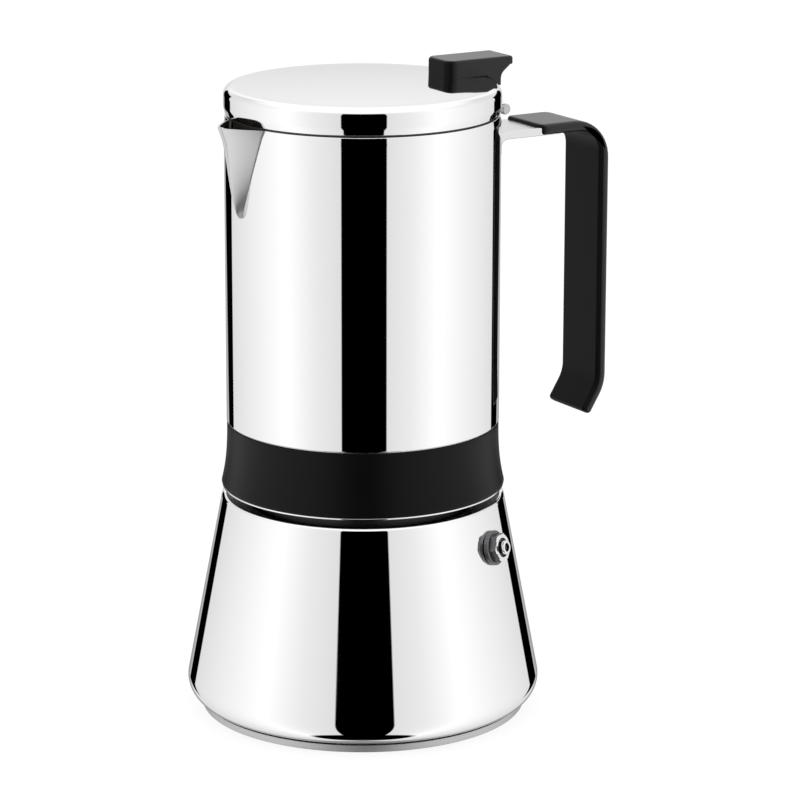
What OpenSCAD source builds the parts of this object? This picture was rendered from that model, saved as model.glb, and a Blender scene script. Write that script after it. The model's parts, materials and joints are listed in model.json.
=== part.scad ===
// Stovetop moka pot: boiler with safety valve, drop-in coffee basket, filter
// plate and seal, screw-on upper pot with hinged lid, spout and strap handle.
// Origin: centre of the base on the worktop, +Z up, handle towards +X,
// spout towards -X. Millimetres.

/* [Boiler] */
// Height of the boiler's shoulder above the worktop
boiler_h = 71.8; // [62:0.1:86]
// Radius of the boiler wall where it meets the shoulder
boiler_top_r = 45.9; // [44:0.1:50]
// Slope of the boiler wall from the vertical, in degrees
boiler_flare = 10.9; // [4:0.1:14]
// Radius of the rounded bottom corner
boiler_corner_r = 7.2; // [4:0.1:10]
// Radius of the rounded shoulder edge
shoulder_r = 1.6; // [1:0.1:3]
// Sheet thickness of the boiler
boiler_wall = 1.0; // [0.6:0.1:2]

/* [Base] */
// How far the base disc's edge stays inside the boiler wall's line
base_inset = 6.156; // [4:0.001:12]
// Height of the base disc under the boiler
base_h = 2.4; // [1.8:0.1:6]
// Sheet thickness of the steel cap that covers the core
base_cap_wall = 0.6; // [0.4:0.1:1]

/* [Neck and thread] */
// Radius of the neck's outside between the thread turns
neck_r = 35.6; // [30:0.1:38]
// Thickness of the neck
neck_wall = 2.4; // [1.5:0.1:4]
// Height of the neck above the shoulder
neck_h = 14.2; // [10:0.1:20]
// Rise of the thread in one turn
thread_pitch = 3.0; // [2:0.1:4]
// Radial height of a thread ridge
thread_depth = 1.0; // [0.5:0.1:1.4]
// Number of turns on each thread
thread_turns = 2; // [1:0.25:2.5]
// Radial gap between the two threads' crests
thread_gap = 0.3; // [0.2:0.05:0.6]

/* [Coffee basket] */
// Inside depth of the basket
basket_depth = 27; // [18:0.5:34]
// Sheet thickness of the basket and its stem
basket_wall = 0.6; // [0.4:0.1:1.2]
// Radial gap between the basket and the neck
basket_gap = 0.7; // [0.3:0.1:1.5]
// Thickness of the basket's rim
rim_t = 0.8; // [0.5:0.1:1.5]
// Outside radius of the stem
stem_r = 4.5; // [3:0.1:7]
// Height of the cone under the basket
cone_h = 9; // [5:0.5:14]
// Gap between the stem's open end and the boiler's floor
stem_gap = 4.6; // [2:0.1:10]

/* [Seal and filter] */
// Thickness of the seal ring
gasket_t = 3.4; // [2:0.1:5]
// Width of the seal ring from its inside to its outside
gasket_w = 7.9; // [5:0.1:11]
// Thickness of the filter plate
filter_t = 0.6; // [0.4:0.1:1]
// Radius of a perforation
hole_r = 0.9; // [0.5:0.1:1.2]
// Rings of perforations round the middle one
hole_rings = 4; // [2:1:5]

/* [Upper pot] */
// Outside radius of the upper pot
pot_r = 44; // [42:0.1:52]
// Height of the straight wall
pot_h = 99.6; // [70:0.1:130]
// Sheet thickness of the upper pot
pot_wall_t = 0.8; // [0.6:0.1:1.4]
// Depth of the pan that closes the pot's bottom
pan_depth = 4.8; // [3:0.1:8]
// Outside radius of the coffee column
column_r = 6; // [4:0.1:9]
// Sheet thickness of the coffee column
column_wall = 0.9; // [0.6:0.1:1.5]
// Height of the coffee column's top above the pan
column_h = 74; // [40:1:85]

/* [Spout] */
// How far the spout's tip stands out from the wall
spout_out = 8.4; // [5:0.1:14]
// Half of the spout's width at the rim
spout_half_w = 11.8; // [8:0.1:16]
// Height of the spout
spout_h = 29.6; // [18:0.1:45]

/* [Grip band] */
// Gap between the boiler's shoulder and the collar's flange
joint_gap = 2.5; // [1:0.1:4]
// Thickness of the collar's steel flange
flange_t = 0.6; // [0.4:0.1:1.5]
// How far the band flares out at its lower edge
band_flare = 1.8; // [0:0.1:3]

/* [Handle] */
// Width of the steel strap
strap_w = 20; // [14:0.5:26]
// Thickness of the steel strap
strap_t = 2.6; // [2:0.1:4]
// How far the handle's outside face stands from the pot's wall
handle_reach = 44.1; // [34:0.1:56]
// Length of the handle from top to bottom
handle_l = 99.8; // [70:0.1:120]
// Distance from the rim down to the handle's top face
handle_drop = 7.9; // [5:0.1:16]
// Radius of the handle's outer corner
handle_corner_r = 15; // [10:0.5:20]
// Thickness of the sleeve on the flat faces of the strap
sleeve_skin = 0.5; // [0.4:0.1:1.5]
// Thickness of the sleeve past each edge of the strap
sleeve_edge = 1; // [0.6:0.1:2]
// Angle by which the handle's lower end turns in, in degrees
handle_kick = 32; // [10:1:45]

/* [Lid] */
// How far the lid's skirt stands outside the pot's wall
lid_over = 0.15; // [0:0.05:1]
// Height of the lid's skirt and shoulder
lid_h = 8.5; // [6:0.1:14]
// Radius of the lid's rounded shoulder
lid_corner_r = 2.9; // [1.5:0.1:5]
// How far the lid's middle rises above its shoulder
lid_dome = 0.7; // [0:0.1:2]
// Sheet thickness of the lid
lid_wall = 0.8; // [0.6:0.1:1.2]
// Gap between the lid's skirt and the pot's rim
lid_gap = 0.6; // [0.3:0.1:1.5]

/* [Hinge] */
// Width of the whole hinge
hinge_w = 16; // [10:0.5:24]
// Outside radius of a knuckle
knuckle_r = 2.4; // [1.8:0.1:3.5]
// Radius of the hinge pin
hinge_pin_r = 1.1; // [0.7:0.1:1.6]
// Radial gap round the pin in the turning knuckle
pin_gap = 0.08; // [0.03:0.01:0.1]
// Thickness of the hinge leaves
leaf_t = 1; // [0.8:0.1:1.5]

/* [Knob] */
// Width of the knob
knob_w = 14; // [10:0.5:20]
// Length of the knob
knob_l = 24.85; // [20:0.05:38]
// How far the knob overhangs the lid's skirt
knob_over = 8.3; // [4:0.1:12]
// Height of the knob above the lid's shoulder
knob_h = 5.9; // [4:0.1:12]

/* [Safety valve] */
// Direction of the valve round the pot, in degrees from the handle
valve_az = -61.5; // [-120:0.5:-40]
// Distance from the shoulder down to the valve's centre
valve_drop = 12.8; // [11:0.1:35]
// Radius of the valve's collar
valve_collar_r = 5.6; // [4:0.1:8]
// Hexagon size across the flats
valve_hex = 8.4; // [6:0.1:12]
// Travel of the valve's pin
valve_travel = 1.2; // [0.5:0.1:1.5]

/* [Hidden] */
$fn = 96;
eps = 0.01;
past = 1; // how far a cutter runs past the face that it opens
tiny_gap = 0.05;
hole_gap = 0.1;

steel = [0.80, 0.81, 0.82];
dull_steel = [0.66, 0.67, 0.68];
black = [0.10, 0.10, 0.11];
rubber = [0.88, 0.87, 0.84];

// Boiler wall line: radius at height z on the outside of the cone.
function cone_r(z, inset = 0) =
    boiler_top_r + (boiler_h - shoulder_r - z) * tan(boiler_flare) - inset / cos(boiler_flare);

base_r = cone_r(base_h) - base_inset;

// Centres of the rounded bottom corner and of the shoulder edge.
corner_z = base_h + boiler_corner_r;
corner_x = cone_r(corner_z, boiler_corner_r);
edge_z = boiler_h - shoulder_r;
edge_x = cone_r(edge_z, shoulder_r);

// Stack of the pieces that meet at the joint, from the neck upwards.
neck_in_r = neck_r - neck_wall;
neck_top = boiler_h + neck_h;
rim_top = neck_top + rim_t;
gasket_top = rim_top + gasket_t;
filter_top = gasket_top + filter_t;
seat_gap = 0.2;
pan_z = filter_top + seat_gap;
pot_z = pan_z + pan_depth;
rim_z = pot_z + pot_h;

// Basket and its stem.
basket_r = neck_in_r - basket_gap;
rim_r = neck_r;
basket_z = rim_top - basket_depth;
cone_z = basket_z - cone_h;
plate_lift = 0.5;
hole_margin = 5;
filter_hole_margin = 3;
funnel_lap = 4; // width of the funnel's flat edge under the basket
funnel_edge = 1;
stem_z = base_h + boiler_wall + stem_gap;

// Threads: the crests pass each other with a gap, so the turn is free.
crest_r = neck_r + thread_depth;
collar_crest_r = crest_r + thread_gap;
collar_in_r = collar_crest_r + thread_depth;
collar_wall = 0.8;
thread_sides = 60;
thread_levels_per_turn = 8;
thread_root = 0.36; // half widths of a ridge, as shares of the pitch
thread_crest = 0.12;
thread_start = boiler_h + joint_gap + 2.2;
collar_thread_start = thread_start + thread_pitch / 3;
neck_foot_w = 1.4;
neck_foot_t = 0.8;
collar_r = collar_in_r + collar_wall;
collar_z = boiler_h + joint_gap;
flange_in = 0.2; // how far the flange's edge stays inside the band's
gasket_gap = 0.4;
filter_in = 1.4;
gasket_r = collar_crest_r - gasket_gap;
gasket_in_r = gasket_r - gasket_w;
filter_r = gasket_r - filter_in;

// Upper pot.
pot_in_r = pot_r - pot_wall_t;
lip_w = 3;
lip_r = pot_r - lip_w;
pot_edge_r = 0.7;
floor_in = 0.6; // how far the floor's edge stays inside the wall's
foot_flare = 7;
column_z = pan_z + 9;
column_top = pan_z + column_h;
column_hole_r = 2.4;
column_hole_drop = 7;
cap_h = 4;
cap_wall = 0.8;
cap_share = 0.45; // radius of the cap's top, as a share of the column's
band_gap = 0.1;
band_power = 2.6; // how late the band's flare begins

// Spout outline: height share t runs from 0 at the point to 1 at the rim.
spout_z = rim_z - spout_h;
spout_lap = 0.15;
notch_lap = 1.2;
spout_power = 1.35; // 1 gives the spout's section straight sides
spout_t0 = 0.006;
function spout_half(t) = spout_half_w * pow(t, 0.95);
function spout_ridge(t) = spout_out * (0.74 * pow(t, 0.4) + 0.26 * pow(t, 8));

// Handle, in the XZ plane.
handle_top = rim_z - handle_drop;
handle_out = pot_r + handle_reach;
sleeve_end_x = pot_r + 17;
sleeve_gap = 0.6;
sleeve_in_r = 7.7;
sleeve_edge_r = 0.8;
sleeve_t = strap_t + 2 * sleeve_skin;
strap_top = handle_top - sleeve_skin - sleeve_gap;
strap_out = handle_out - sleeve_skin;
bend_r = 5.5;
kick_r = 14;
kick_l = 7.5;
kick_z = handle_top - handle_l + kick_r * sin(handle_kick) + kick_l * cos(handle_kick);
core_corner_r = handle_corner_r - sleeve_skin;
core_end = 5;
leg_l = 14;
leg_w = 12;
wide_leg_l = 2; // how far the strap keeps its full width below its bend

// Lid and hinge.
lid_r = pot_r + lid_over;
lid_z = rim_z + lid_gap;
lid_top = lid_z + lid_h;
ring_gap = 0.5;
ring_r = pot_in_r - ring_gap;
ring_t = 0.6;
ring_drop = 4.5;
ring_lift = 0.2; // from the skirt's lower edge up to the ring's flat rim
hinge_x = lid_r + 4.4;
hinge_z = lid_z - 2.5;
knuckle_clear = 0.3;
knuckle_w = 5.2;
knuckle_gap = 0.2;
pin_head_r = 1.9;
pin_head_t = 0.6;
knob_in_x = lid_r + knob_over - knob_l;
leaf_bend = 4;
leaf_plate_w = 11.6;
leaf_start = 2.4; // from the knob's inner end to the leaf's
screw_x = [knob_in_x + 5.4, knob_in_x + 10.6];
screw_r = 1.2;
screw_head_r = 2.6;
screw_head_t = 1.6;
screw_grip = 4; // length of a screw above the lid's sheet
screw_end_gap = 0.5;
knob_skin = 0.9;
knob_cove = 3.6;
knob_corner_r = 3;
knob_lip_t = 2.8;
knob_foot_gap = 2.2; // from the knuckles up to the knob's lower end
hinge_foot = 6;
foot_side = 2;
pin_end = 0.15;

// Safety valve, in its own frame: +Z outwards, 0 on the boiler's outer wall.
shank_r = 3.5;
shank_in = 6.2;
collar_t = 1.5;
hex_t = 2.4;
nipple_r = 2.2;
nipple_l = 1.6;
nipple_hole_r = 1.35;
valve_out = collar_t + hex_t + nipple_l;
chamber_r = 2.4;
seat_t = 1.2;
seat_hole_r = 1.4;
stem_pin_r = 0.8;
head_r = 2.1;
head_t = 1.2;
spring_r = 1.9;
spring_wire = 0.35;
spring_turns = 4;
washer_t = 0.8;
nut_t = 2.2;
nut_hex = 9.5;
washer_w = 1.6;
washer_lift = 0.35; // the wall curves away from the flat washer
washer_z = -boiler_wall - washer_t - washer_lift;
nut_z = washer_z - nut_t;
chamber_end = collar_t + hex_t - 1;
valve_steps = 16;
valve_wire_sides = 6;
valve_z = boiler_h - valve_drop;
valve_r = cone_r(valve_z);

// Arc points from angle a to angle b round (x, z).
function arc(x, z, r, a, b, n = 12) =
    [for (i = [0 : n]) [x + r * cos(a + (b - a) * i / n), z + r * sin(a + (b - a) * i / n)]];

module ring(r, in_r, z, h) {
    translate([0, 0, z])
        difference() {
            cylinder(r = r, h = h);
            translate([0, 0, -past])
                cylinder(r = in_r, h = h + 2 * past);
        }
}

// Right half of the boiler's section, set in from the outside by "inset".
module boiler_section(inset) {
    r_low = boiler_corner_r - inset;
    r_top = shoulder_r - inset;
    ca = cos(boiler_flare);
    sa = sin(boiler_flare);
    polygon([[0, base_h + inset], [corner_x, base_h + inset],
             [corner_x, corner_z],
             [corner_x + r_low * ca, corner_z + r_low * sa],
             [edge_x + r_top * ca, edge_z + r_top * sa],
             [edge_x, boiler_h - inset], [0, boiler_h - inset]]);
    intersection() {
        translate([corner_x, corner_z])
            circle(r = r_low);
        translate([corner_x - 1, base_h])
            square([boiler_corner_r + 2, boiler_corner_r + r_low * sa]);
    }
    translate([edge_x, edge_z])
        circle(r = r_top);
}

module boiler_shell() {
    color(steel)
        difference() {
            rotate_extrude() {
                difference() {
                    boiler_section(0);
                    boiler_section(boiler_wall);
                }
            }
            translate([0, 0, boiler_h - boiler_wall - past])
                cylinder(r = neck_r, h = boiler_wall + 2 * past);
            at_valve()
                translate([0, 0, -shank_in - past])
                    cylinder(r = shank_r + hole_gap, h = 2 * (shank_in + past));
        }
}

// Height of the thread's ridge at angle a and height z, for a helix that
// starts at height z0 and fades in and out over an eighth of a turn.
function ridge(a, z, z0) =
    let (s = (z - z0) / thread_pitch - a / 360, k = round(s), turn = k + a / 360)
    thread_depth * max(0, min(1, (thread_root - abs(s - k)) / (thread_root - thread_crest)))
        * max(0, min(1, 8 * turn, 8 * (thread_turns - turn)));

// Levels across a thread that starts at height z0, and a little to each side.
function thread_levels(z0) =
    let (n = thread_levels_per_turn)
    [for (i = [-3 : n * thread_turns + 3]) z0 + thread_pitch * i / n];

// A ring turned from "loops", one closed loop of [radius, height] points for
// each angle, anticlockwise as seen with the radius to the right.
module turned(loops) {
    n = len(loops);
    m = len(loops[0]);
    pts = [for (i = [0 : n - 1], p = loops[i])
              [p[0] * cos(360 * i / n), p[0] * sin(360 * i / n), p[1]]];
    faces = [for (i = [0 : n - 1], j = [0 : m - 1])
                let (a = i * m, b = (i + 1) % n * m, k = (j + 1) % m)
                [a + j, a + k, b + k, b + j]];
    polyhedron(points = pts, faces = faces);
}

module boiler_neck() {
    z0 = thread_start;
    under = boiler_h - boiler_wall;
    levels = thread_levels(z0);
    color(steel)
        turned([for (i = [0 : thread_sides - 1])
                   let (a = 360 * i / thread_sides)
                   concat([[neck_in_r, under - neck_foot_t],
                           [neck_r + neck_foot_w, under - neck_foot_t],
                           [neck_r + neck_foot_w, under], [neck_r, under]],
                          [for (z = levels) [neck_r + ridge(a, z, z0), z]],
                          [[neck_r, neck_top], [neck_in_r, neck_top]])]);
}

module heat_spreader() {
    color([0.75, 0.76, 0.78])
        translate([0, 0, base_cap_wall])
            cylinder(r = base_r - base_cap_wall, h = base_h - base_cap_wall);
}

module base_cap() {
    color(dull_steel)
        difference() {
            cylinder(r = base_r, h = base_h);
            translate([0, 0, base_cap_wall])
                cylinder(r = base_r - base_cap_wall, h = base_h);
        }
}

module at_valve() {
    rotate([0, 0, valve_az])
        translate([valve_r, 0, valve_z])
            rotate([0, 90 - boiler_flare, 0])
                children();
}

module valve_body() {
    color(steel)
        at_valve()
            difference() {
                union() {
                    translate([0, 0, -shank_in])
                        cylinder(r = shank_r, h = shank_in);
                    cylinder(r = valve_collar_r, h = collar_t);
                    translate([0, 0, collar_t])
                        cylinder(r = valve_hex / 2 / cos(30), h = hex_t, $fn = 6);
                    translate([0, 0, collar_t + hex_t])
                        cylinder(r = nipple_r, h = nipple_l);
                }
                translate([0, 0, -shank_in - past])
                    cylinder(r = seat_hole_r, h = shank_in + 2 * past);
                translate([0, 0, seat_t - shank_in])
                    cylinder(r = chamber_r, h = shank_in - seat_t + chamber_end);
                translate([0, 0, collar_t])
                    cylinder(r = nipple_hole_r, h = hex_t + nipple_l + past);
            }
}

module valve_washer() {
    color(rubber)
        at_valve()
            ring(shank_r + washer_w, shank_r + tiny_gap, washer_z, washer_t);
}

module valve_nut() {
    color(dull_steel)
        at_valve()
            translate([0, 0, nut_z])
                difference() {
                    cylinder(r = nut_hex / 2 / cos(30), h = nut_t, $fn = 6);
                    translate([0, 0, -past])
                        cylinder(r = shank_r + tiny_gap, h = nut_t + 2 * past);
                }
}

// The spring sits between the pin's head and the end of the valve's chamber.
spring_z = seat_t - shank_in + head_t;
spring_l = chamber_end - spring_z;

module valve_spring() {
    steps = valve_steps;
    n = steps * spring_turns;
    m = valve_wire_sides;
    rise = spring_l - 2 * spring_wire;
    pts = [for (i = [0 : n], j = [0 : m - 1])
              let (a = 360 * i / steps, b = 360 * j / m, r = spring_r + spring_wire * cos(b))
              [r * cos(a), r * sin(a),
               spring_z + spring_wire + rise * i / n + spring_wire * sin(b)]];
    side = [for (i = [0 : n - 1], j = [0 : m - 1])
               [i * m + j, (i + 1) * m + j, (i + 1) * m + (j + 1) % m, i * m + (j + 1) % m]];
    first = [for (j = [0 : m - 1]) j];
    last = [for (j = [m - 1 : -1 : 0]) n * m + j];
    color(dull_steel)
        at_valve()
            polyhedron(points = pts, faces = concat(side, [first, last]));
}

module valve_pin() {
    color([0.72, 0.60, 0.35])
        at_valve() {
            translate([0, 0, seat_t - shank_in])
                cylinder(r = head_r, h = head_t);
            translate([0, 0, seat_t - shank_in])
                cylinder(r = stem_pin_r, h = shank_in - seat_t + valve_out - valve_travel / 2);
        }
}

module basket_cup() {
    color(dull_steel) {
        ring(rim_r, basket_r - basket_wall, neck_top, rim_t);
        ring(basket_r, basket_r - basket_wall, basket_z, basket_depth - rim_t);
    }
}

// Perforations on rings of 6, 12, 18 and so on, out to radius "reach".
module perforations(reach, z, h) {
    translate([0, 0, z]) {
        cylinder(r = hole_r, h = h);
        for (k = [1 : hole_rings], i = [0 : 6 * k - 1])
            rotate([0, 0, 60 * i / k])
                translate([reach * k / hole_rings, 0, 0])
                    cylinder(r = hole_r, h = h);
    }
}

module basket_plate() {
    color(dull_steel)
        difference() {
            translate([0, 0, basket_z + plate_lift])
                cylinder(r = basket_r - basket_wall - hole_gap, h = basket_wall);
            perforations(basket_r - hole_margin, basket_z, plate_lift + basket_wall + past);
        }
}

module funnel_stem() {
    in_r = stem_r - basket_wall;
    color(dull_steel)
        rotate_extrude()
            polygon([[in_r, stem_z], [stem_r, stem_z], [stem_r, cone_z],
                     [basket_r, basket_z - funnel_edge], [basket_r, basket_z],
                     [basket_r - funnel_lap, basket_z],
                     [basket_r - funnel_lap, basket_z - funnel_edge - 0.4],
                     [in_r, cone_z + funnel_edge]]);
}

module gasket() {
    color(rubber)
        ring(gasket_r, gasket_in_r, rim_top, gasket_t);
}

module filter_plate() {
    color(dull_steel)
        difference() {
            translate([0, 0, gasket_top])
                cylinder(r = filter_r, h = filter_t);
            perforations(gasket_in_r - filter_hole_margin, gasket_top - past,
                         filter_t + 2 * past);
        }
}

module threaded_collar() {
    z0 = collar_thread_start;
    levels = thread_levels(z0);
    flange_r = pot_r + band_flare - flange_in;
    color(steel)
        turned([for (i = [0 : thread_sides - 1])
                   let (a = 360 * i / thread_sides)
                   concat([[collar_in_r, collar_z], [flange_r, collar_z],
                           [flange_r, collar_z + flange_t], [collar_r, collar_z + flange_t],
                           [collar_r, pan_z], [collar_in_r, pan_z]],
                          [for (k = [len(levels) - 1 : -1 : 0])
                              [collar_in_r - ridge(a, levels[k], z0), levels[k]]])]);
}

module pot_floor() {
    t = pot_wall_t;
    foot_r = column_r + foot_flare;
    color(dull_steel)
        rotate_extrude()
            polygon([[column_r - column_wall, column_z], [foot_r - t, pan_z],
                     [collar_r + t, pan_z], [collar_r + t, pot_z - t],
                     [pot_r - floor_in, pot_z - t], [pot_r - floor_in, pot_z],
                     [collar_r, pot_z], [collar_r, pan_z + t],
                     [foot_r, pan_z + t], [column_r, column_z]]);
}

// The opening that the spout covers, as a solid reaching through the wall.
module spout_notch() {
    inset = notch_lap;
    steps = 12;
    side = [for (i = [2 : steps])
               let (t = i / steps) [max(0.1, spout_half(t) - inset), spout_z + t * spout_h]];
    left = [for (i = [len(side) - 1 : -1 : 0]) [-side[i][0], side[i][1]]];
    translate([2 * lip_w - pot_r, 0, 0])
        rotate([90, 0, -90])
            linear_extrude(height = 2 * lip_w + spout_out + past)
                polygon(concat(side, [[spout_half_w - inset, rim_z + 2],
                                      [inset - spout_half_w, rim_z + 2]], left));
}

module pot_wall() {
    edge = pot_edge_r;
    color(steel)
        difference() {
            rotate_extrude() {
                translate([pot_in_r, pot_z + edge])
                    square([pot_wall_t, pot_h - edge]);
                translate([lip_r, pot_z])
                    square([pot_in_r + eps - lip_r, pot_wall_t]);
                translate([pot_r - edge, pot_z + edge])
                    circle(r = edge);
            }
            spout_notch();
        }
}

// Skin of the spout at height share t, across share u from -1 to 1. The back
// of the skin follows its face "depth" behind, but never enters the wall.
function spout_pt(t, u, depth) =
    let (half = max(0.6, spout_half(t)),
         y = half * u,
         wall = sqrt(pow(pot_r, 2) - y * y) + eps,
         out = spout_ridge(t) * (1 - pow(abs(u), spout_power)))
    [-(wall + (depth > 0 ? max(0, out - depth) : out + spout_lap)), y, spout_z + t * spout_h];

module spout() {
    rows = 14;
    cols = 16;
    t0 = spout_t0;
    function row_t(i) = t0 + (1 - t0) * pow(i / rows, 1.4);
    m = cols + 1;
    outer = [for (i = [0 : rows], j = [0 : cols]) spout_pt(row_t(i), 2 * j / cols - 1, 0)];
    inner = [for (i = [0 : rows], j = [0 : cols])
                spout_pt(row_t(i), 2 * j / cols - 1, pot_wall_t)];
    k = len(outer);
    skin = [for (i = [0 : rows - 1], j = [0 : cols - 1])
               [i * m + j, (i + 1) * m + j, (i + 1) * m + j + 1, i * m + j + 1]];
    back = [for (f = skin) [k + f[3], k + f[2], k + f[1], k + f[0]]];
    top = [for (j = [0 : cols - 1])
              [rows * m + j, k + rows * m + j, k + rows * m + j + 1, rows * m + j + 1]];
    low = [for (j = [0 : cols - 1]) [j, j + 1, k + j + 1, k + j]];
    near = [for (i = [0 : rows - 1])
               [i * m, k + i * m, k + (i + 1) * m, (i + 1) * m]];
    far = [for (i = [0 : rows - 1])
              [i * m + cols, (i + 1) * m + cols, k + (i + 1) * m + cols, k + i * m + cols]];
    color(steel)
        polyhedron(points = concat(outer, inner),
                   faces = concat(skin, back, top, low, near, far));
}

module coffee_column() {
    color(dull_steel)
        difference() {
            ring(column_r, column_r - column_wall, column_z, column_top - column_z);
            for (a = [90, 270])
                rotate([0, 0, a])
                    translate([0, 0, column_top - column_hole_drop])
                        rotate([0, 90, 0])
                            cylinder(r = column_hole_r, h = column_r + past);
        }
}

module column_cap() {
    color(dull_steel)
        translate([0, 0, column_top])
            difference() {
                cylinder(r1 = column_r, r2 = column_r * cap_share, h = cap_h);
                translate([0, 0, -eps])
                    cylinder(r1 = column_r - column_wall,
                             r2 = column_r * cap_share - column_wall, h = cap_h - cap_wall);
            }
}

module grip_band() {
    low = collar_z + flange_t;
    top = pot_z - band_gap;
    n = 10;
    // The outside stays straight at the top and flares towards the bottom.
    side = [for (i = [0 : n])
               let (s = i / n)
               [pot_r - band_gap + (band_flare + band_gap) * pow(s, band_power),
                top - (top - low) * s]];
    color(black)
        rotate_extrude()
            polygon(concat(side, [[collar_r, low], [collar_r, pan_z - seat_gap],
                                  [collar_r + pot_wall_t, pan_z - seat_gap],
                                  [collar_r + pot_wall_t, pot_z - pot_wall_t],
                                  [pot_r - floor_in, pot_z - pot_wall_t],
                                  [pot_r - floor_in, top]]));
}

// Section of the strap: leg on the wall, bend, tab, then the core that runs
// on inside the sleeve.
module strap_outline() {
    r_in = core_corner_r - strap_t;
    cx = strap_out - core_corner_r;
    cz = strap_top - core_corner_r;
    end_z = kick_z + core_end;
    bx = pot_r + bend_r;
    bz = strap_top - bend_r;
    polygon(concat(
        [[pot_r - strap_t, bz - leg_l], [pot_r - strap_t, bz]],
        arc(bx, bz, bend_r, 180, 90, 8),
        arc(cx, cz, core_corner_r, 90, 0, 10),
        [[strap_out, end_z], [strap_out - strap_t, end_z]],
        arc(cx, cz, r_in, 0, 90, 10),
        arc(bx, bz, bend_r - strap_t, 90, 180, 8),
        [[pot_r + strap_t, bz - leg_l]]));
}

module slab(w) {
    rotate([90, 0, 0])
        translate([0, 0, -w / 2])
            linear_extrude(height = w)
                children();
}

module handle_strap() {
    bz = strap_top - bend_r - wide_leg_l;
    side = strap_w - leg_w;
    color(steel)
        difference() {
            slab(strap_w)
                strap_outline();
            cylinder(r = pot_r, h = 2 * rim_z);
            for (s = [-1, 1])
                translate([pot_r - strap_t, (s * (leg_w + side) - side) / 2, bz - leg_l])
                    cube([3 * strap_t, side, leg_l]);
        }
}

// Section of the sleeve, with the turned-in lower end.
module sleeve_outline() {
    cx = handle_out - handle_corner_r;
    cz = handle_top - handle_corner_r;
    in_r = sleeve_in_r;
    in_x = handle_out - sleeve_t;
    low_t = strap_top - strap_t - sleeve_skin;
    kx = handle_out - kick_r;
    dx = -sin(handle_kick);
    dz = -cos(handle_kick);
    tip = [kx + kick_r * cos(handle_kick), kick_z - kick_r * sin(handle_kick)];
    back = [kx + (kick_r - sleeve_t) * cos(handle_kick),
            kick_z - (kick_r - sleeve_t) * sin(handle_kick)];
    polygon(concat(
        [[sleeve_end_x, handle_top]],
        arc(cx, cz, handle_corner_r, 90, 0, 12),
        arc(kx, kick_z, kick_r, 0, -handle_kick, 5),
        [[tip[0] + dx * (kick_l - 1), tip[1] + dz * (kick_l - 1)],
         [tip[0] + dx * kick_l - sleeve_edge_r, tip[1] + dz * kick_l],
         [back[0] + dx * kick_l + sleeve_edge_r, back[1] + dz * kick_l],
         [back[0] + dx * (kick_l - 1), back[1] + dz * (kick_l - 1)]],
        arc(kx, kick_z, kick_r - sleeve_t, -handle_kick, 0, 5),
        arc(in_x - in_r, low_t - in_r, in_r, 0, 90, 8),
        [[sleeve_end_x, low_t]]));
}

module handle_sleeve() {
    color(black)
        difference() {
            slab(strap_w + 2 * sleeve_edge)
                sleeve_outline();
            slab(strap_w)
                strap_outline();
        }
}

module hinge_base() {
    w = knuckle_w;
    x0 = pot_r - leaf_t;
    color(steel)
        difference() {
            union() {
                translate([x0, -w / 2 - foot_side, hinge_z - hinge_foot])
                    cube([2 * leaf_t, w + 2 * foot_side, hinge_foot + leaf_t]);
                translate([x0, -w / 2, hinge_z - leaf_t])
                    cube([hinge_x - x0, w, 2 * leaf_t]);
                translate([hinge_x, -w / 2, hinge_z])
                    rotate([-90, 0, 0])
                        cylinder(r = knuckle_r, h = w);
            }
            translate([hinge_x, -w, hinge_z])
                rotate([-90, 0, 0])
                    cylinder(r = hinge_pin_r, h = 2 * w);
            cylinder(r = pot_r, h = 2 * rim_z);
        }
}

module hinge_pin() {
    half = hinge_w / 2 + pin_end;
    color(steel)
        translate([hinge_x, 0, hinge_z])
            rotate([-90, 0, 0]) {
                translate([0, 0, -half])
                    cylinder(r = hinge_pin_r, h = 2 * half);
                for (s = [-1, 1])
                    translate([0, 0, s * (half + pin_head_t / 2) - pin_head_t / 2])
                        cylinder(r = pin_head_r, h = pin_head_t);
            }
}

// Right half of the lid's section, "out" outside its sheet.
module lid_section(out) {
    r = lid_corner_r + out;
    cx = lid_r - lid_corner_r;
    cz = lid_top - lid_corner_r;
    polygon([[0, lid_z], [lid_r + out, lid_z], [lid_r + out, cz], [cx, cz],
             [cx, lid_top + out], [0, lid_top + lid_dome + out]]);
    translate([cx, cz])
        circle(r = r);
}

module lid_shell() {
    color(steel)
        difference() {
            rotate_extrude()
                intersection() {
                    difference() {
                        lid_section(0);
                        translate([0, -2 * eps])
                            lid_section(-lid_wall);
                        square([lid_r - lid_wall, lid_z + past]);
                    }
                    square([lid_r + past, 2 * rim_z]);
                }
            for (x = screw_x)
                translate([x, 0, lid_top - lid_wall - past])
                    cylinder(r = screw_r + hole_gap, h = lid_wall + lid_dome + 2 * past);
        }
}

module lid_ring() {
    color(dull_steel) {
        ring(ring_r, ring_r - ring_t, rim_z - ring_drop, ring_drop + lid_gap + ring_lift);
        ring(lid_r - lid_wall, ring_r - ring_t, rim_z + lid_gap + ring_lift, ring_t);
    }
}

// Section of the leaf: a plate on the lid, a bend over the shoulder and a leg
// down to the hinge line, thickened by "grow" on its outside.
module leaf_outline(grow = 0) {
    x = hinge_x - knuckle_r + leaf_t + grow;
    top = lid_top + leaf_t + grow;
    x0 = knob_in_x + leaf_start;
    polygon(concat([[x0, top - leaf_t - grow], [x0, top]],
                   arc(x - leaf_bend, top - leaf_bend, leaf_bend, 90, 0, 8),
                   [[x, hinge_z], [x - leaf_t - grow, hinge_z]],
                   arc(x - leaf_bend, top - leaf_bend, leaf_bend - leaf_t - grow, 0, 90, 8)));
}

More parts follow.
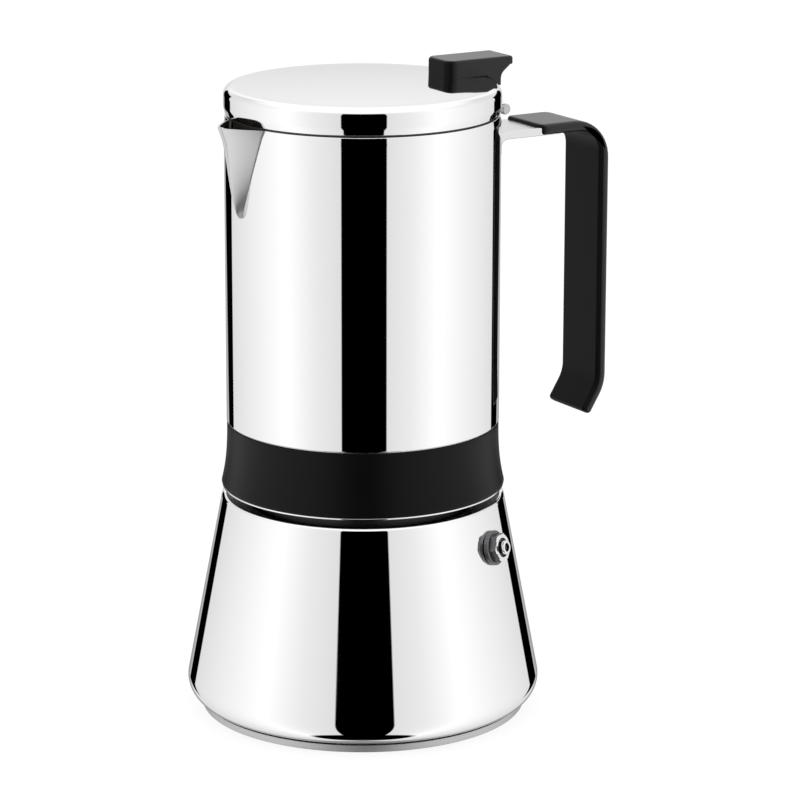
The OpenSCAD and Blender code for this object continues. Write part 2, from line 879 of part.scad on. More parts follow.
// The plate lies under the knob; the leg widens and carries the two outer
// knuckles, clear of the middle one.
module lid_leaf() {
    leg_top = lid_top + leaf_t - leaf_bend;
    color(steel)
        difference() {
            union() {
                slab(leaf_plate_w)
                    leaf_outline();
                intersection() {
                    slab(hinge_w)
                        leaf_outline();
                    translate([0, -hinge_w, 0])
                        cube([2 * pot_r, 2 * hinge_w, leg_top]);
                }
                translate([hinge_x, -hinge_w / 2, hinge_z])
                    rotate([-90, 0, 0])
                        cylinder(r = knuckle_r, h = hinge_w);
            }
            rotate_extrude()
                lid_section(0);
            translate([hinge_x, -knuckle_w / 2 - knuckle_gap, hinge_z])
                rotate([-90, 0, 0])
                    cylinder(r = knuckle_r + knuckle_clear, h = knuckle_w + 2 * knuckle_gap);
            translate([hinge_x, -hinge_w, hinge_z])
                rotate([-90, 0, 0])
                    cylinder(r = hinge_pin_r + pin_gap, h = 2 * hinge_w);
            for (x = screw_x)
                translate([x, 0, lid_top - past])
                    cylinder(r = screw_r + hole_gap, h = lid_dome + leaf_t + 2 * past);
        }
}

// Side view of the knob: a block with an overhanging thumb end and a neck
// that comes down outside the leaf.
module knob_side() {
    end_x = lid_r + knob_over;
    top = lid_top + knob_h;
    neck_x = hinge_x - knuckle_r + leaf_t + knob_skin;
    low = hinge_z + knuckle_r + knob_foot_gap;
    lip = top - knob_lip_t;
    difference() {
        translate([knob_in_x, low])
            square([end_x - knob_in_x, top - low]);
        translate([neck_x, low - past])
            square([pot_r, lip - knob_cove - low + past]);
        translate([neck_x + knob_cove, lip - knob_cove])
            circle(r = knob_cove);
        translate([neck_x + knob_cove, low - past])
            square([pot_r, lip - low + past]);
    }
}

module lid_knob() {
    r = knob_corner_r;
    end_x = lid_r + knob_over;
    color(black)
        difference() {
            intersection() {
                slab(knob_w)
                    knob_side();
                linear_extrude(height = 2 * rim_z)
                    offset(r = r, $fn = 32)
                        translate([knob_in_x + r, r - knob_w / 2])
                            square([end_x - knob_in_x, knob_w - 2 * r]);
            }
            rotate_extrude()
                lid_section(0);
            slab(leaf_plate_w)
                leaf_outline();
            slab(knob_w + 2 * past)
                leaf_fill();
            for (x = screw_x)
                translate([x, 0, lid_top - past])
                    cylinder(r = screw_r, h = screw_grip + screw_end_gap + lid_dome + past);
        }
}

// The space on the pot's side of the leaf's leg.
module leaf_fill() {
    x = hinge_x - knuckle_r + leaf_t;
    top = lid_top + leaf_t;
    intersection() {
        union() {
            translate([x - leaf_bend, top - leaf_bend])
                circle(r = leaf_bend);
            translate([x - leaf_bend, 0])
                square([leaf_bend, top - leaf_bend]);
        }
        translate([lid_r - 0.4, 0])
            square([leaf_bend + leaf_t, 2 * rim_z]);
    }
}

module knob_screws() {
    color(dull_steel)
        for (x = screw_x) {
            translate([x, 0, lid_top - lid_wall - screw_head_t])
                cylinder(r = screw_head_r, h = screw_head_t);
            translate([x, 0, lid_top - lid_wall])
                cylinder(r = screw_r, h = lid_wall + screw_grip);
        }
}

boiler_shell();
boiler_neck();
heat_spreader();
base_cap();
valve_body();
valve_washer();
valve_nut();
valve_spring();
valve_pin();
basket_cup();
basket_plate();
funnel_stem();
gasket();
filter_plate();
threaded_collar();
pot_floor();
pot_wall();
spout();
coffee_column();
column_cap();
grip_band();
handle_strap();
handle_sleeve();
hinge_base();
hinge_pin();
lid_shell();
lid_ring();
lid_leaf();
lid_knob();
knob_screws();
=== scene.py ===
"""A stovetop moka pot: flared boiler with a safety valve, coffee basket, screw-on pot with a spout,
a hinged lid and an open strap handle. Millimetres are turned into metres as each mesh is made."""

import json
import math

import bmesh
import bpy
from mathutils import Matrix, Vector


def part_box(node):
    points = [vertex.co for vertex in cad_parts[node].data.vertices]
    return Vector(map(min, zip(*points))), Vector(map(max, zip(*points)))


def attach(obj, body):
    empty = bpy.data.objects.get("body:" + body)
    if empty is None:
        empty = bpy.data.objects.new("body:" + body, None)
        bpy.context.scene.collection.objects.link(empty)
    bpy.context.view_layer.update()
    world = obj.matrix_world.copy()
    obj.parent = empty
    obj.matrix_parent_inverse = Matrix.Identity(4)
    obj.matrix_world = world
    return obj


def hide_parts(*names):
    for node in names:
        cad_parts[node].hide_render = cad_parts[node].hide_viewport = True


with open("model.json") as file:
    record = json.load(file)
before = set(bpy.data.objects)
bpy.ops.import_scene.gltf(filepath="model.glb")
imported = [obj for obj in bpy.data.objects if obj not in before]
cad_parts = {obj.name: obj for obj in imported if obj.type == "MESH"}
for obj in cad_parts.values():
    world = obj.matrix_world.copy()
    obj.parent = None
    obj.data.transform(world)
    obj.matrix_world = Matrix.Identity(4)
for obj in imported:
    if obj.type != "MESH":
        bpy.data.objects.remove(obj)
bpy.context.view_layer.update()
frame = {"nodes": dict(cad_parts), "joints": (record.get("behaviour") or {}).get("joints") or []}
MM = 0.001


# ---------------------------------------------------------------- Boiler
# The boiler is drawn from one sheet of stainless steel and polished to a mirror: a flared cup with
# a rounded foot and a flat shoulder. The neck is pressed into the hole in the shoulder.
def corners_of(node):
    """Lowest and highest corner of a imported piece, in millimetres."""
    low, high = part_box(node)
    return [v / MM for v in low], [v / MM for v in high]


def heights_of(node):
    """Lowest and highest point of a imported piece, in millimetres."""
    low, high = corners_of(node)
    return low[2], high[2]


def outline(*corners):
    """Points of a closed section through corners given as (across, up, radius of the bend)."""
    line = []
    for i, (across, up, bend) in enumerate(corners):
        here = Vector((across, up))
        back = Vector(corners[i - 1][:2]) - here
        ahead = Vector(corners[(i + 1) % len(corners)][:2]) - here
        turn = math.pi - back.angle(ahead)
        if bend <= 0 or turn < 0.03:
            line.append(here)
            continue
        room = min(bend * math.tan(turn / 2), 0.499 * back.length, 0.499 * ahead.length)
        bend = room / math.tan(turn / 2)
        middle = (back.normalized() + ahead.normalized()).normalized()
        centre = here + middle * (bend / math.cos(turn / 2))
        first = here + back.normalized() * room - centre
        last = here + ahead.normalized() * room - centre
        start = math.atan2(first.y, first.x)
        sweep = (math.atan2(last.y, last.x) - start + math.pi) % (2 * math.pi) - math.pi
        steps = max(3, math.ceil(math.degrees(turn) / 7))
        for s in range(steps + 1):
            a = start + sweep * s / steps
            line.append(centre + bend * Vector((math.cos(a), math.sin(a))))
    return line


def skin(bm, rings):
    """Lays faces between neighbouring rings of points; a ring may be a single point."""
    for one, two in zip(rings, rings[1:]):
        sides = max(len(one), len(two))
        if sides == 1:
            continue
        for k in range(sides):
            n = (k + 1) % sides
            loop = [one[k % len(one)], one[n % len(one)], two[n % len(two)], two[k % len(two)]]
            bm.faces.new(list(dict.fromkeys(loop)))


def outwards(bm):
    """Turns every face of a closed shape outwards."""
    bmesh.ops.recalc_face_normals(bm, faces=bm.faces)
    return bm


def turned(line, sides=192, longest=14.0, place=Matrix()):
    """A solid spun round the Z axis from a closed section, then put in its place."""
    rows = []
    for i, here in enumerate(line):
        ahead = line[(i + 1) % len(line)]
        parts = max(1, math.ceil((ahead - here).length / longest))
        on_axis = here.x < 1e-6 and ahead.x < 1e-6
        rows += [here] if on_axis else [here.lerp(ahead, k / parts) for k in range(parts)]
    bm = bmesh.new()
    rings = []
    for across, up in rows:
        count = 1 if across < 1e-6 else sides
        spots = [2 * math.pi * k / sides for k in range(count)]
        points = [Vector((across * math.cos(a), across * math.sin(a), up)) for a in spots]
        rings.append([bm.verts.new((place @ p) * MM) for p in points])
    skin(bm, rings + rings[:1])
    return outwards(bm)


def placed(name, data):
    """An object in the scene with this mesh or camera."""
    made = bpy.data.objects.new(name, data)
    bpy.context.scene.collection.objects.link(made)
    return made


def object_of(name, bm):
    """An object in the scene with the bmesh as its mesh."""
    mesh = bpy.data.meshes.new(name)
    bm.to_mesh(mesh)
    bm.free()
    return placed(name, mesh)


def plain_mesh(made):
    """Leaves the object with what its modifiers make of it, and no modifier."""
    graph = bpy.context.evaluated_depsgraph_get()
    result = bpy.data.meshes.new_from_object(made.evaluated_get(graph))
    made.modifiers.clear()
    made.data = result


def piece(name, bm, material, body, finish, *nodes, crease=33, other=None, where=None):
    """Makes the mesh a piece of the pot: shaded evenly, riding on its body, in place of its nodes.

    Faces that "where" picks get the "other" material.
    """
    for face in bm.faces:
        face.smooth = True
        face.material_index = int(other is not None and where(face))
    for edge in bm.edges:
        edge.smooth = len(edge.link_faces) == 2 and edge.calc_face_angle() < math.radians(crease)
    made = object_of(name, bm)
    made.data.materials.append(material)
    if other:
        made.data.materials.append(other)
    even = made.modifiers.new("even shading", "WEIGHTED_NORMAL")
    even.keep_sharp = True
    even.weight = 100
    plain_mesh(made)
    made.data.name = name
    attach(made, body)
    if nodes:
        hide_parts(*nodes)
    return made


def blank_material(name):
    """A material with its Principled shader, and the tree's links."""
    material = bpy.data.materials.new(name)
    material.use_nodes = True
    tree = material.node_tree
    return material, tree, tree.nodes["Principled BSDF"]


def floats(*titles):
    """Sockets for numbers, for open_tree."""
    return [(title, "NodeSocketFloat") for title in titles]


def open_tree(kind, name, inputs, outputs):
    """An empty node tree with its inputs and outputs, each given as (name, socket type)."""
    tree = bpy.data.node_groups.new(name, kind)
    for side, sockets in (("INPUT", inputs), ("OUTPUT", outputs)):
        for title, socket in sockets:
            tree.interface.new_socket(title, in_out=side, socket_type=socket)
    return tree, tree.nodes.new("NodeGroupInput"), tree.nodes.new("NodeGroupOutput")


def add_node(tree, kind, inputs=(), **settings):
    """A node with its settings, and its inputs fed with sockets or plain values."""
    node = tree.nodes.new(kind)
    for title, value in settings.items():
        setattr(node, title, value)
    for title, value in dict(inputs).items():
        if isinstance(value, bpy.types.NodeSocket):
            tree.links.new(value, node.inputs[title])
        else:
            node.inputs[title].default_value = value
    return node


def sum_of(tree, operation, *values, clamp=False):
    """Result of a Math node fed with sockets or plain numbers."""
    return add_node(tree, "ShaderNodeMath", dict(enumerate(values)), operation=operation,
                    use_clamp=clamp).outputs[0]


def cloud_of(tree, scale, detail=2.0, roughness=0.5):
    """Noise in the object's own coordinates."""
    place = add_node(tree, "ShaderNodeTexCoord").outputs["Object"]
    return add_node(tree, "ShaderNodeTexNoise", {
        "Vector": place, "Scale": scale, "Detail": detail,
        "Roughness": roughness}).outputs["Fac"]


def tinted(tree, surface, share, one, two):
    """Gives the surface a colour between two."""
    mix = add_node(tree, "ShaderNodeMix", {"Factor": share, "A": (*one, 1), "B": (*two, 1)},
                   data_type="RGBA")
    tree.links.new(mix.outputs["Result"], surface.inputs["Base Color"])


def bumped(tree, surface, height, strength, depth):
    """Gives the surface a relief "depth" micrometres deep."""
    bump = add_node(tree, "ShaderNodeBump", {
        "Height": height, "Strength": strength, "Distance": depth * 1e-6})
    tree.links.new(bump.outputs["Normal"], surface.inputs["Normal"])


def polishing_marks():
    """Lines left by a wheel round the pot's axis, and the faint cloud of handling over them."""
    tree, given, result = open_tree(
        "ShaderNodeTree", "polishing marks", floats("Roughness", "Lines", "Handling", "Line Scale"),
        floats("Roughness", "Height"))
    asked = given.outputs
    place = add_node(tree, "ShaderNodeTexCoord").outputs["Object"]
    split = add_node(tree, "ShaderNodeSeparateXYZ", {0: place}).outputs
    flat = add_node(tree, "ShaderNodeCombineXYZ", {"X": split["X"], "Y": split["Y"]})
    across = add_node(tree, "ShaderNodeVectorMath", {0: flat.outputs[0]}, operation="LENGTH")
    along = sum_of(tree, "MULTIPLY_ADD", across.outputs["Value"], asked["Line Scale"],
                   sum_of(tree, "MULTIPLY", split["Z"], asked["Line Scale"]))
    lines = add_node(tree, "ShaderNodeTexNoise", {"W": along, "Scale": 1.0, "Detail": 3.0},
                     noise_dimensions="1D").outputs["Fac"]
    soft = add_node(tree, "ShaderNodeMapRange", {
        "Value": cloud_of(tree, 38.0, 4.0, 0.6), "From Min": 0.45, "From Max": 0.75},
        interpolation_type="SMOOTHSTEP").outputs["Result"]
    worked = sum_of(tree, "MULTIPLY_ADD", lines, asked["Lines"], asked["Roughness"])
    rough = sum_of(tree, "MULTIPLY_ADD", soft, asked["Handling"], worked)
    tree.links.new(rough, result.inputs["Roughness"])
    tree.links.new(lines, result.inputs["Height"])
    return tree


MARKS = polishing_marks()


def metal(name, colour, roughness, lines, handling, depth, tint=0.03, scale=2200.0):
    """Metal worked by a wheel: a faint cloud in its colour, and lines "depth" micrometres deep."""
    material, tree, surface = blank_material(name)
    marks = add_node(tree, "ShaderNodeGroup", {
        "Roughness": roughness, "Lines": lines, "Handling": handling, "Line Scale": scale},
        node_tree=MARKS).outputs
    tree.links.new(marks["Roughness"], surface.inputs["Roughness"])
    tinted(tree, surface, cloud_of(tree, 22.0), [c * (1 - tint) for c in colour],
           [min(1, c * (1 + tint)) for c in colour])
    if depth > 0:
        bumped(tree, surface, marks["Height"], 0.6, depth)
    surface.inputs["Metallic"].default_value = 1.0
    return material


mirror_steel = metal("mirror polished steel", (0.90, 0.90, 0.905), 0.012, 0.012, 0.018, 0, 0.006)
satin_steel = metal("satin steel", (0.74, 0.745, 0.75), 0.20, 0.10, 0.05, 1.2, 0.02)

boiler_low, boiler_top = heights_of("boiler_shell")
_, (neck_radius, _, neck_top) = corners_of("basket_cup")
flare = math.radians(10.9)
shell_wall = 1.0
foot_bend = 7.2
shoulder_bend = 1.6
shoulder_radius = 45.9


def cone(height, inset=0.0):
    """Radius of the boiler's outside at a height."""
    drop = boiler_top - shoulder_bend - height
    return shoulder_radius + drop * math.tan(flare) - inset / math.cos(flare)


inner_low = boiler_low + shell_wall
inner_top = boiler_top - shell_wall
shell_line = outline(
    (0, boiler_low, 0), (cone(boiler_low), boiler_low, foot_bend),
    (cone(boiler_top), boiler_top, shoulder_bend), (neck_radius, boiler_top, 0),
    (neck_radius, inner_top, 0), (cone(inner_top, shell_wall), inner_top, 0.6),
    (cone(inner_low, shell_wall), inner_low, foot_bend - shell_wall), (0, inner_low, 0))


def inner_face(face):
    """A face that looks towards the pot's axis: the unpolished inside of a turned piece."""
    middle = face.calc_center_median()
    return face.normal.dot(Vector((middle.x, middle.y, 0)).normalized()) < -0.3


piece("boiler", turned(shell_line), mirror_steel, "boiler", "polished_steel", "boiler_shell",
      other=satin_steel, where=inner_face)


# ---------------------------------------------------------------- Base
# A thick aluminium core spreads the heat under the boiler. A stainless cap, turned on a lathe and
# left with its fine rings, covers it and carries the pot on the worktop.
base_steel = metal("turned base steel", (0.56, 0.56, 0.57), 0.42, 0.12, 0.05, 1.6, 0.03, 1500.0)
rolled_aluminium = metal("rolled aluminium", (0.75, 0.76, 0.78), 0.28, 0.10, 0.08, 2.0, 0.03)
_, (base_radius, _, base_top) = corners_of("base_cap")
cap_wall = 0.6
cap_line = outline(
    (0, 0, 0), (base_radius, 0, 0.7), (base_radius, base_top, 0.1),
    (base_radius - cap_wall, base_top, 0), (base_radius - cap_wall, cap_wall, 0), (0, cap_wall, 0))
piece("base_disc", turned(cap_line), base_steel, "boiler", "base_steel", "base_cap")
frame["nodes"]["heat_spreader"].data.materials.clear()
frame["nodes"]["heat_spreader"].data.materials.append(rolled_aluminium)


# ---------------------------------------------------------------- Neck and its thread
# The neck is a turned ring with a rolled thread. The thread's ridge follows a helix, fades in and
# out at its ends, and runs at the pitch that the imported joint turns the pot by.
SHAPE = ("Geometry", "NodeSocketGeometry")
PAINT = ("Material", "NodeSocketMaterial")


def finish_tree(tree, given, shape, result):
    """Ends a geometry tree: real mesh, then the material."""
    real = add_node(tree, "GeometryNodeRealizeInstances", {"Geometry": shape})
    paint = add_node(tree, "GeometryNodeSetMaterial", {
        "Geometry": real.outputs["Geometry"], "Material": given.outputs["Material"]})
    tree.links.new(paint.outputs["Geometry"], result.inputs["Geometry"])


def taken(made):
    """An object's mesh to work on; the object goes."""
    bm = bmesh.new()
    bm.from_mesh(made.data)
    bpy.data.objects.remove(made)
    return bm


def grown(tree, place=Matrix(), **values):
    """Runs a geometry tree once with these inputs, and returns its mesh to work on."""
    holder = placed(tree.name, bpy.data.meshes.new(tree.name))
    run = holder.modifiers.new(tree.name, "NODES")
    run.node_group = tree
    sockets = {s.name: s.identifier for s in tree.interface.items_tree if s.in_out == "INPUT"}
    for title, value in values.items():
        run[sockets[title.replace("_", " ")]] = value
    plain_mesh(holder)
    bm = taken(holder)
    bmesh.ops.remove_doubles(bm, verts=bm.verts, dist=1e-6)
    bmesh.ops.transform(bm, matrix=place, verts=bm.verts)
    return outwards(bm)


def coil_tree():
    """Round wire wound on a helix up from the origin; its ends thin out over the share Fade."""
    tree, given, result = open_tree("GeometryNodeTree", "wound coil", [
        SHAPE, *floats("Radius", "Rise", "Turns", "Wire", "Fade"), ("Steps", "NodeSocketInt"),
        PAINT], [SHAPE])
    sizes = given.outputs
    helix = add_node(tree, "GeometryNodeCurveSpiral", {
        "Resolution": sizes["Steps"], "Rotations": sizes["Turns"],
        "Start Radius": sizes["Radius"], "End Radius": sizes["Radius"], "Height": sizes["Rise"]})
    along = add_node(tree, "GeometryNodeSplineParameter").outputs["Factor"]
    nearest = sum_of(tree, "MINIMUM", along, sum_of(tree, "SUBTRACT", 1.0, along))
    width = add_node(tree, "ShaderNodeMapRange", {
        "Value": nearest, "From Min": -0.001, "From Max": sizes["Fade"], "To Min": 0.05})
    profile = add_node(tree, "GeometryNodeCurvePrimitiveCircle", {
        "Resolution": 12, "Radius": sizes["Wire"]})
    wire = add_node(tree, "GeometryNodeCurveToMesh", {
        "Curve": helix.outputs["Curve"], "Profile Curve": profile.outputs["Curve"],
        "Scale": width.outputs["Result"], "Fill Caps": True})
    finish_tree(tree, given, wire.outputs["Mesh"], result)
    return tree


def joined(first, *others):
    """One mesh of several."""
    for bm in others:
        spare = bpy.data.meshes.new("spare")
        bm.to_mesh(spare)
        bm.free()
        first.from_mesh(spare)
        bpy.data.meshes.remove(spare)
    return first


def raised(height):
    """Lifts a shape made in metres to a height in millimetres."""
    return Matrix.Translation((0, 0, height * MM))


def thread_ridge(radius, start):
    """The ridge of the pot's thread, wound up from a height round a helix of this radius."""
    return grown(
        COIL, raised(start), Radius=radius * MM, Rise=pitch * thread_turns * MM,
        Turns=float(thread_turns), Wire=ridge_wire * MM, Fade=0.06, Steps=96,
        Material=shade_dark_thread_steel)


COIL = coil_tree()
# Painted shade: the neck, its thread and the collar are coloured dark, so the gap between the grip
# band and the boiler's shoulder reads as shade.
shade_dark_thread_steel = metal("thread steel painted dark as gap shade", (0.115, 0.115, 0.12), 0.34, 0.10, 0.06, 1.5, 0.04)
pitch = 3.0
thread_turns = 2
thread_depth = 1.0
ridge_wire = 0.95
neck_inner = 33.2
neck_foot = 1.4
neck_lap = 0.8
neck_thread_up = 4.7
neck_line = outline(
    (neck_inner, inner_top - neck_lap, 0.1), (neck_radius + neck_foot, inner_top - neck_lap, 0.2),
    (neck_radius + neck_foot, inner_top, 0.1), (neck_radius, inner_top, 0),
    (neck_radius, neck_top - neck_lap, 0.5), (neck_inner, neck_top - neck_lap, 0.4))
neck_ridge = thread_ridge(neck_radius + thread_depth - ridge_wire, boiler_top + neck_thread_up)
piece("boiler_neck_ring", joined(turned(neck_line), neck_ridge), shade_dark_thread_steel, "boiler",
      "satin_steel", "boiler_neck")


# ---------------------------------------------------------------- Safety valve
# The valve screws through the boiler's wall: a round collar, a hexagon for the spanner and a small
# drilled nipple outside; a seal, a nut and the spring-held brass pin inside.
def from_cad(node, bevel=0.15, crease=33):
    """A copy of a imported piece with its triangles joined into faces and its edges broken."""
    bm = bmesh.new()
    bm.from_mesh(frame["nodes"][node].data)
    bmesh.ops.remove_doubles(bm, verts=bm.verts, dist=2e-6)
    flat = math.radians(1.0)
    bmesh.ops.dissolve_limit(bm, angle_limit=flat, verts=bm.verts, edges=bm.edges)
    if bevel > 0:
        sharp = [e for e in bm.edges
                 if len(e.link_faces) == 2 and e.calc_face_angle() > math.radians(crease)]
        bmesh.ops.bevel(bm, geom=sharp, offset=bevel * MM, segments=2, profile=0.5,
                        affect="EDGES", clamp_overlap=True)
    return bm


relief = next(j for j in frame["joints"] if j["name"] == "valve_relief")
valve_axis = Vector(relief["axis"])
valve_height = 59.0
valve_turn = math.atan2(valve_axis.y, valve_axis.x)
valve_tilt = math.asin(valve_axis.z)
valve_spot = Matrix.Rotation(valve_turn, 4, "Z") @ Matrix.Translation(
    (cone(valve_height), 0, valve_height)) @ Matrix.Rotation(math.pi / 2 - valve_tilt, 4, "Y")
collar_height = 1.5
hexagon_height = 2.4
nipple_height = 1.6
hexagon_top = collar_height + hexagon_height
nipple_top = hexagon_top + nipple_height
collar_radius = 5.6
hexagon_flats = 8.4
corner_radius = hexagon_flats / 2 / math.cos(math.pi / 6)
core_radius = 4.0
groove_radius = 3.15
groove_floor = hexagon_top - 1.0
nipple_radius = 2.25
nipple_neck = 1.95
nipple_bore = 1.35
shank_radius = 3.5
shank_low = -6.2
chamber_radius = 2.4
# Dark steel on every valve face that does not look straight out; in the groove round the nipple
# this dark is painted shade.
valve_steel = metal("dark valve steel with painted groove shade", (0.16, 0.16, 0.165), 0.30, 0.14, 0.10, 2.0, 0.10)
valve_face_steel = metal("bright turned valve face", (0.86, 0.86, 0.87), 0.10, 0.06, 0.04, 0.6,
                         0.02)
# Painted shade: the brass pin is coloured nearly black, so the nipple's bore reads as shade.
valve_brass = metal("brass painted dark as shade in the bore", (0.10, 0.085, 0.06), 0.42, 0.10, 0.08, 1.0, 0.06)
valve_line = outline(
    (chamber_radius, shank_low + 1.2, 0), (shank_radius, shank_low, 0.2), (shank_radius, 0, 0),
    (collar_radius, 0, 0.15), (collar_radius, collar_height - 0.2, 0.3),
    (collar_radius - 0.5, collar_height, 0.2), (core_radius, collar_height, 0),
    (core_radius, hexagon_top - 0.9, 0), (groove_radius, hexagon_top + 0.02, 0.05),
    (groove_radius - 0.05, groove_floor, 0.1), (nipple_neck, groove_floor, 0.1),
    (nipple_neck, hexagon_top + 0.4, 0.1), (nipple_radius, hexagon_top + 0.6, 0.15),
    (nipple_radius - 0.05, nipple_top, 0.3), (nipple_bore, nipple_top, 0.25),
    (nipple_bore, collar_height, 0), (chamber_radius, collar_height - 0.1, 0))


def on_valve(face):
    """A face's middle in the valve's own frame, and how squarely it looks outwards."""
    return valve_spot.inverted() @ (face.calc_center_median() / MM), face.normal.dot(valve_axis)


def bright_valve_face(face):
    """The turned end of the hexagon, and the nipple's end and neck."""
    spot, squarely = on_valve(face)
    across = math.hypot(spot.x, spot.y)
    turned_end = squarely > 0.35 and spot.z > hexagon_top - 0.9 and across > groove_radius - 0.03
    return turned_end or (spot.z > hexagon_top + 0.45 and across > nipple_bore + 0.05)


hexagon = bmesh.new()
hexagon_sides = 48
hexagon_rings = []
for share, up in ((1.0, collar_height - 0.2), (1.0, hexagon_top - 0.45),
                  (0.955, hexagon_top - 0.15), (0.87, hexagon_top),
                  (groove_radius / corner_radius, hexagon_top),
                  (groove_radius / corner_radius, collar_height - 0.2)):
    hexagon_rings.append([])
    for k in range(hexagon_sides):
        a = 2 * math.pi * k / hexagon_sides
        off = (a + math.pi / 6) % (math.pi / 3) - math.pi / 6
        across = min(hexagon_flats / 2 / math.cos(off), corner_radius * share)
        spot = valve_spot @ Vector((across * math.cos(a), across * math.sin(a), up))
        hexagon_rings[-1].append(hexagon.verts.new(spot * MM))
skin(hexagon, hexagon_rings + hexagon_rings[:1])
turned_body = turned(valve_line, 64, place=valve_spot)
piece("valve_body_turned", joined(turned_body, outwards(hexagon)), valve_steel, "boiler",
      "valve_steel", "valve_body", crease=22, other=valve_face_steel, where=bright_valve_face)


def silicone():
    """White silicone seal: matt, a little milky, with dust in its skin."""
    material, tree, surface = blank_material("silicone seal")
    cloud = cloud_of(tree, 180.0, 5.0)
    tinted(tree, surface, cloud, (0.80, 0.78, 0.74), (0.90, 0.89, 0.86))
    rough = add_node(tree, "ShaderNodeMapRange", {"Value": cloud, "To Min": 0.42, "To Max": 0.62})
    tree.links.new(rough.outputs["Result"], surface.inputs["Roughness"])
    surface.inputs["Subsurface Weight"].default_value = 0.15
    surface.inputs["Subsurface Scale"].default_value = 0.002
    return material


seal = silicone()
piece("valve_seal", from_cad("valve_washer"), seal, "boiler", "seal_silicone", "valve_washer")
piece("valve_lock_nut", from_cad("valve_nut", 0.2), satin_steel, "boiler", "satin_steel",
      "valve_nut")
spring_wire = 0.35
spring_low = -3.8
spring_length = 6.7
spring_radius = 1.9
spring_turns = 5.0
valve_coil = grown(
    COIL, Matrix.Diagonal((MM, MM, MM, 1)) @ valve_spot
    @ Matrix.Translation((0, 0, spring_low + spring_wire)),
    Radius=spring_radius, Rise=spring_length - 2 * spring_wire, Turns=spring_turns,
    Wire=spring_wire * 0.95, Fade=0.0005, Steps=36, Material=satin_steel)
piece("valve_coil_spring", valve_coil, satin_steel, "boiler", "spring_steel", "valve_spring")
piece("valve_brass_pin", from_cad("valve_pin", 0.2), valve_brass, "valve_plunger", "valve_brass",
      "valve_pin")


# ---------------------------------------------------------------- Coffee basket and its stem
# The basket is a drawn cup with a turned-out rim that hangs on the neck. A pierced plate closes its
# bottom, and the cone below runs into the stem that dips into the water.
def gathered(tree, *parts):
    """Several geometries as one."""
    join = add_node(tree, "GeometryNodeJoinGeometry")
    for part in parts:
        tree.links.new(part, join.inputs["Geometry"])
    return join.outputs["Geometry"]


def pierced_tree():
    """A round plate pierced on rings of 6, 12, 18 and 24 round a middle hole, rising from z 0."""
    tree, given, result = open_tree("GeometryNodeTree", "pierced plate", [
        SHAPE, *floats("Radius", "Reach", "Hole", "Thickness"), PAINT], [SHAPE])
    sizes = given.outputs
    rings = [add_node(tree, "GeometryNodeMeshCircle", {
        "Vertices": 6 * k, "Radius": sum_of(tree, "MULTIPLY", sizes["Reach"], k / 4)})
        for k in range(1, 5)]
    middle = add_node(tree, "GeometryNodeMeshLine", {"Count": 1})
    spots = gathered(tree, *[made.outputs["Mesh"] for made in rings + [middle]])
    hole = add_node(tree, "GeometryNodeCurvePrimitiveCircle", {
        "Resolution": 16, "Radius": sizes["Hole"]})
    holes = add_node(tree, "GeometryNodeInstanceOnPoints", {
        "Points": spots, "Instance": hole.outputs["Curve"]})
    real = add_node(tree, "GeometryNodeRealizeInstances", {"Geometry": holes.outputs["Instances"]})
    edge = add_node(tree, "GeometryNodeCurvePrimitiveCircle", {
        "Resolution": 128, "Radius": sizes["Radius"]})
    lines = gathered(tree, real.outputs["Geometry"], edge.outputs["Curve"])
    sheet = add_node(tree, "GeometryNodeFillCurve", {"Curve": lines}).outputs["Mesh"]
    top = add_node(tree, "GeometryNodeExtrudeMesh", {
        "Mesh": sheet, "Individual": False, "Offset Scale": sizes["Thickness"]})
    back = add_node(tree, "GeometryNodeFlipFaces", {"Mesh": sheet})
    finish_tree(tree, given, gathered(tree, top.outputs["Mesh"], back.outputs["Mesh"]), result)
    return tree


def pierced_plate(name, node, body, radius, reach):
    """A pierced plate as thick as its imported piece, with its outer holes at "reach"."""
    low, top = heights_of(node)
    plate = grown(
        PIERCED, raised(low), Radius=radius * MM, Reach=reach * MM, Hole=hole_radius * MM,
        Thickness=(top - low) * MM, Material=satin_steel)
    piece(name, plate, satin_steel, body, "satin_steel", node)


PIERCED = pierced_tree()
hole_radius = 0.9
basket_floor, _ = heights_of("basket_cup")
basket_radius = 32.5
basket_wall = 0.6
rim_thickness = 0.8
cup_line = outline(
    (basket_radius - basket_wall, basket_floor, 0.1), (basket_radius, basket_floor, 0.1),
    (basket_radius, neck_top - rim_thickness, 0.4), (neck_radius, neck_top - rim_thickness, 0.35),
    (neck_radius, neck_top, 0.35), (basket_radius - basket_wall, neck_top, 0.6))
piece("basket_cup_drawn", turned(cup_line), satin_steel, "basket", "satin_steel", "basket_cup")
pierced_plate("basket_pierced_plate", "basket_plate", "basket", basket_radius - 0.7,
              basket_radius - 5)
stem_low, stem_top = heights_of("funnel_stem")
stem_radius = 4.5
stem_wall = 0.6
cone_low = basket_floor - 9
weld_width = 4
weld_height = 1.4
stem_line = outline(
    (stem_radius - stem_wall, stem_low, 0.2), (stem_radius, stem_low, 0.2),
    (stem_radius, cone_low, 3), (basket_radius, basket_floor - 1, 0.8),
    (basket_radius, stem_top, 0), (basket_radius - weld_width, stem_top, 0),
    (basket_radius - weld_width, stem_top - weld_height, 0),
    (stem_radius - stem_wall, cone_low + 1, 3))
piece("funnel_and_stem", turned(stem_line, 128), satin_steel, "basket", "satin_steel",
      "funnel_stem")


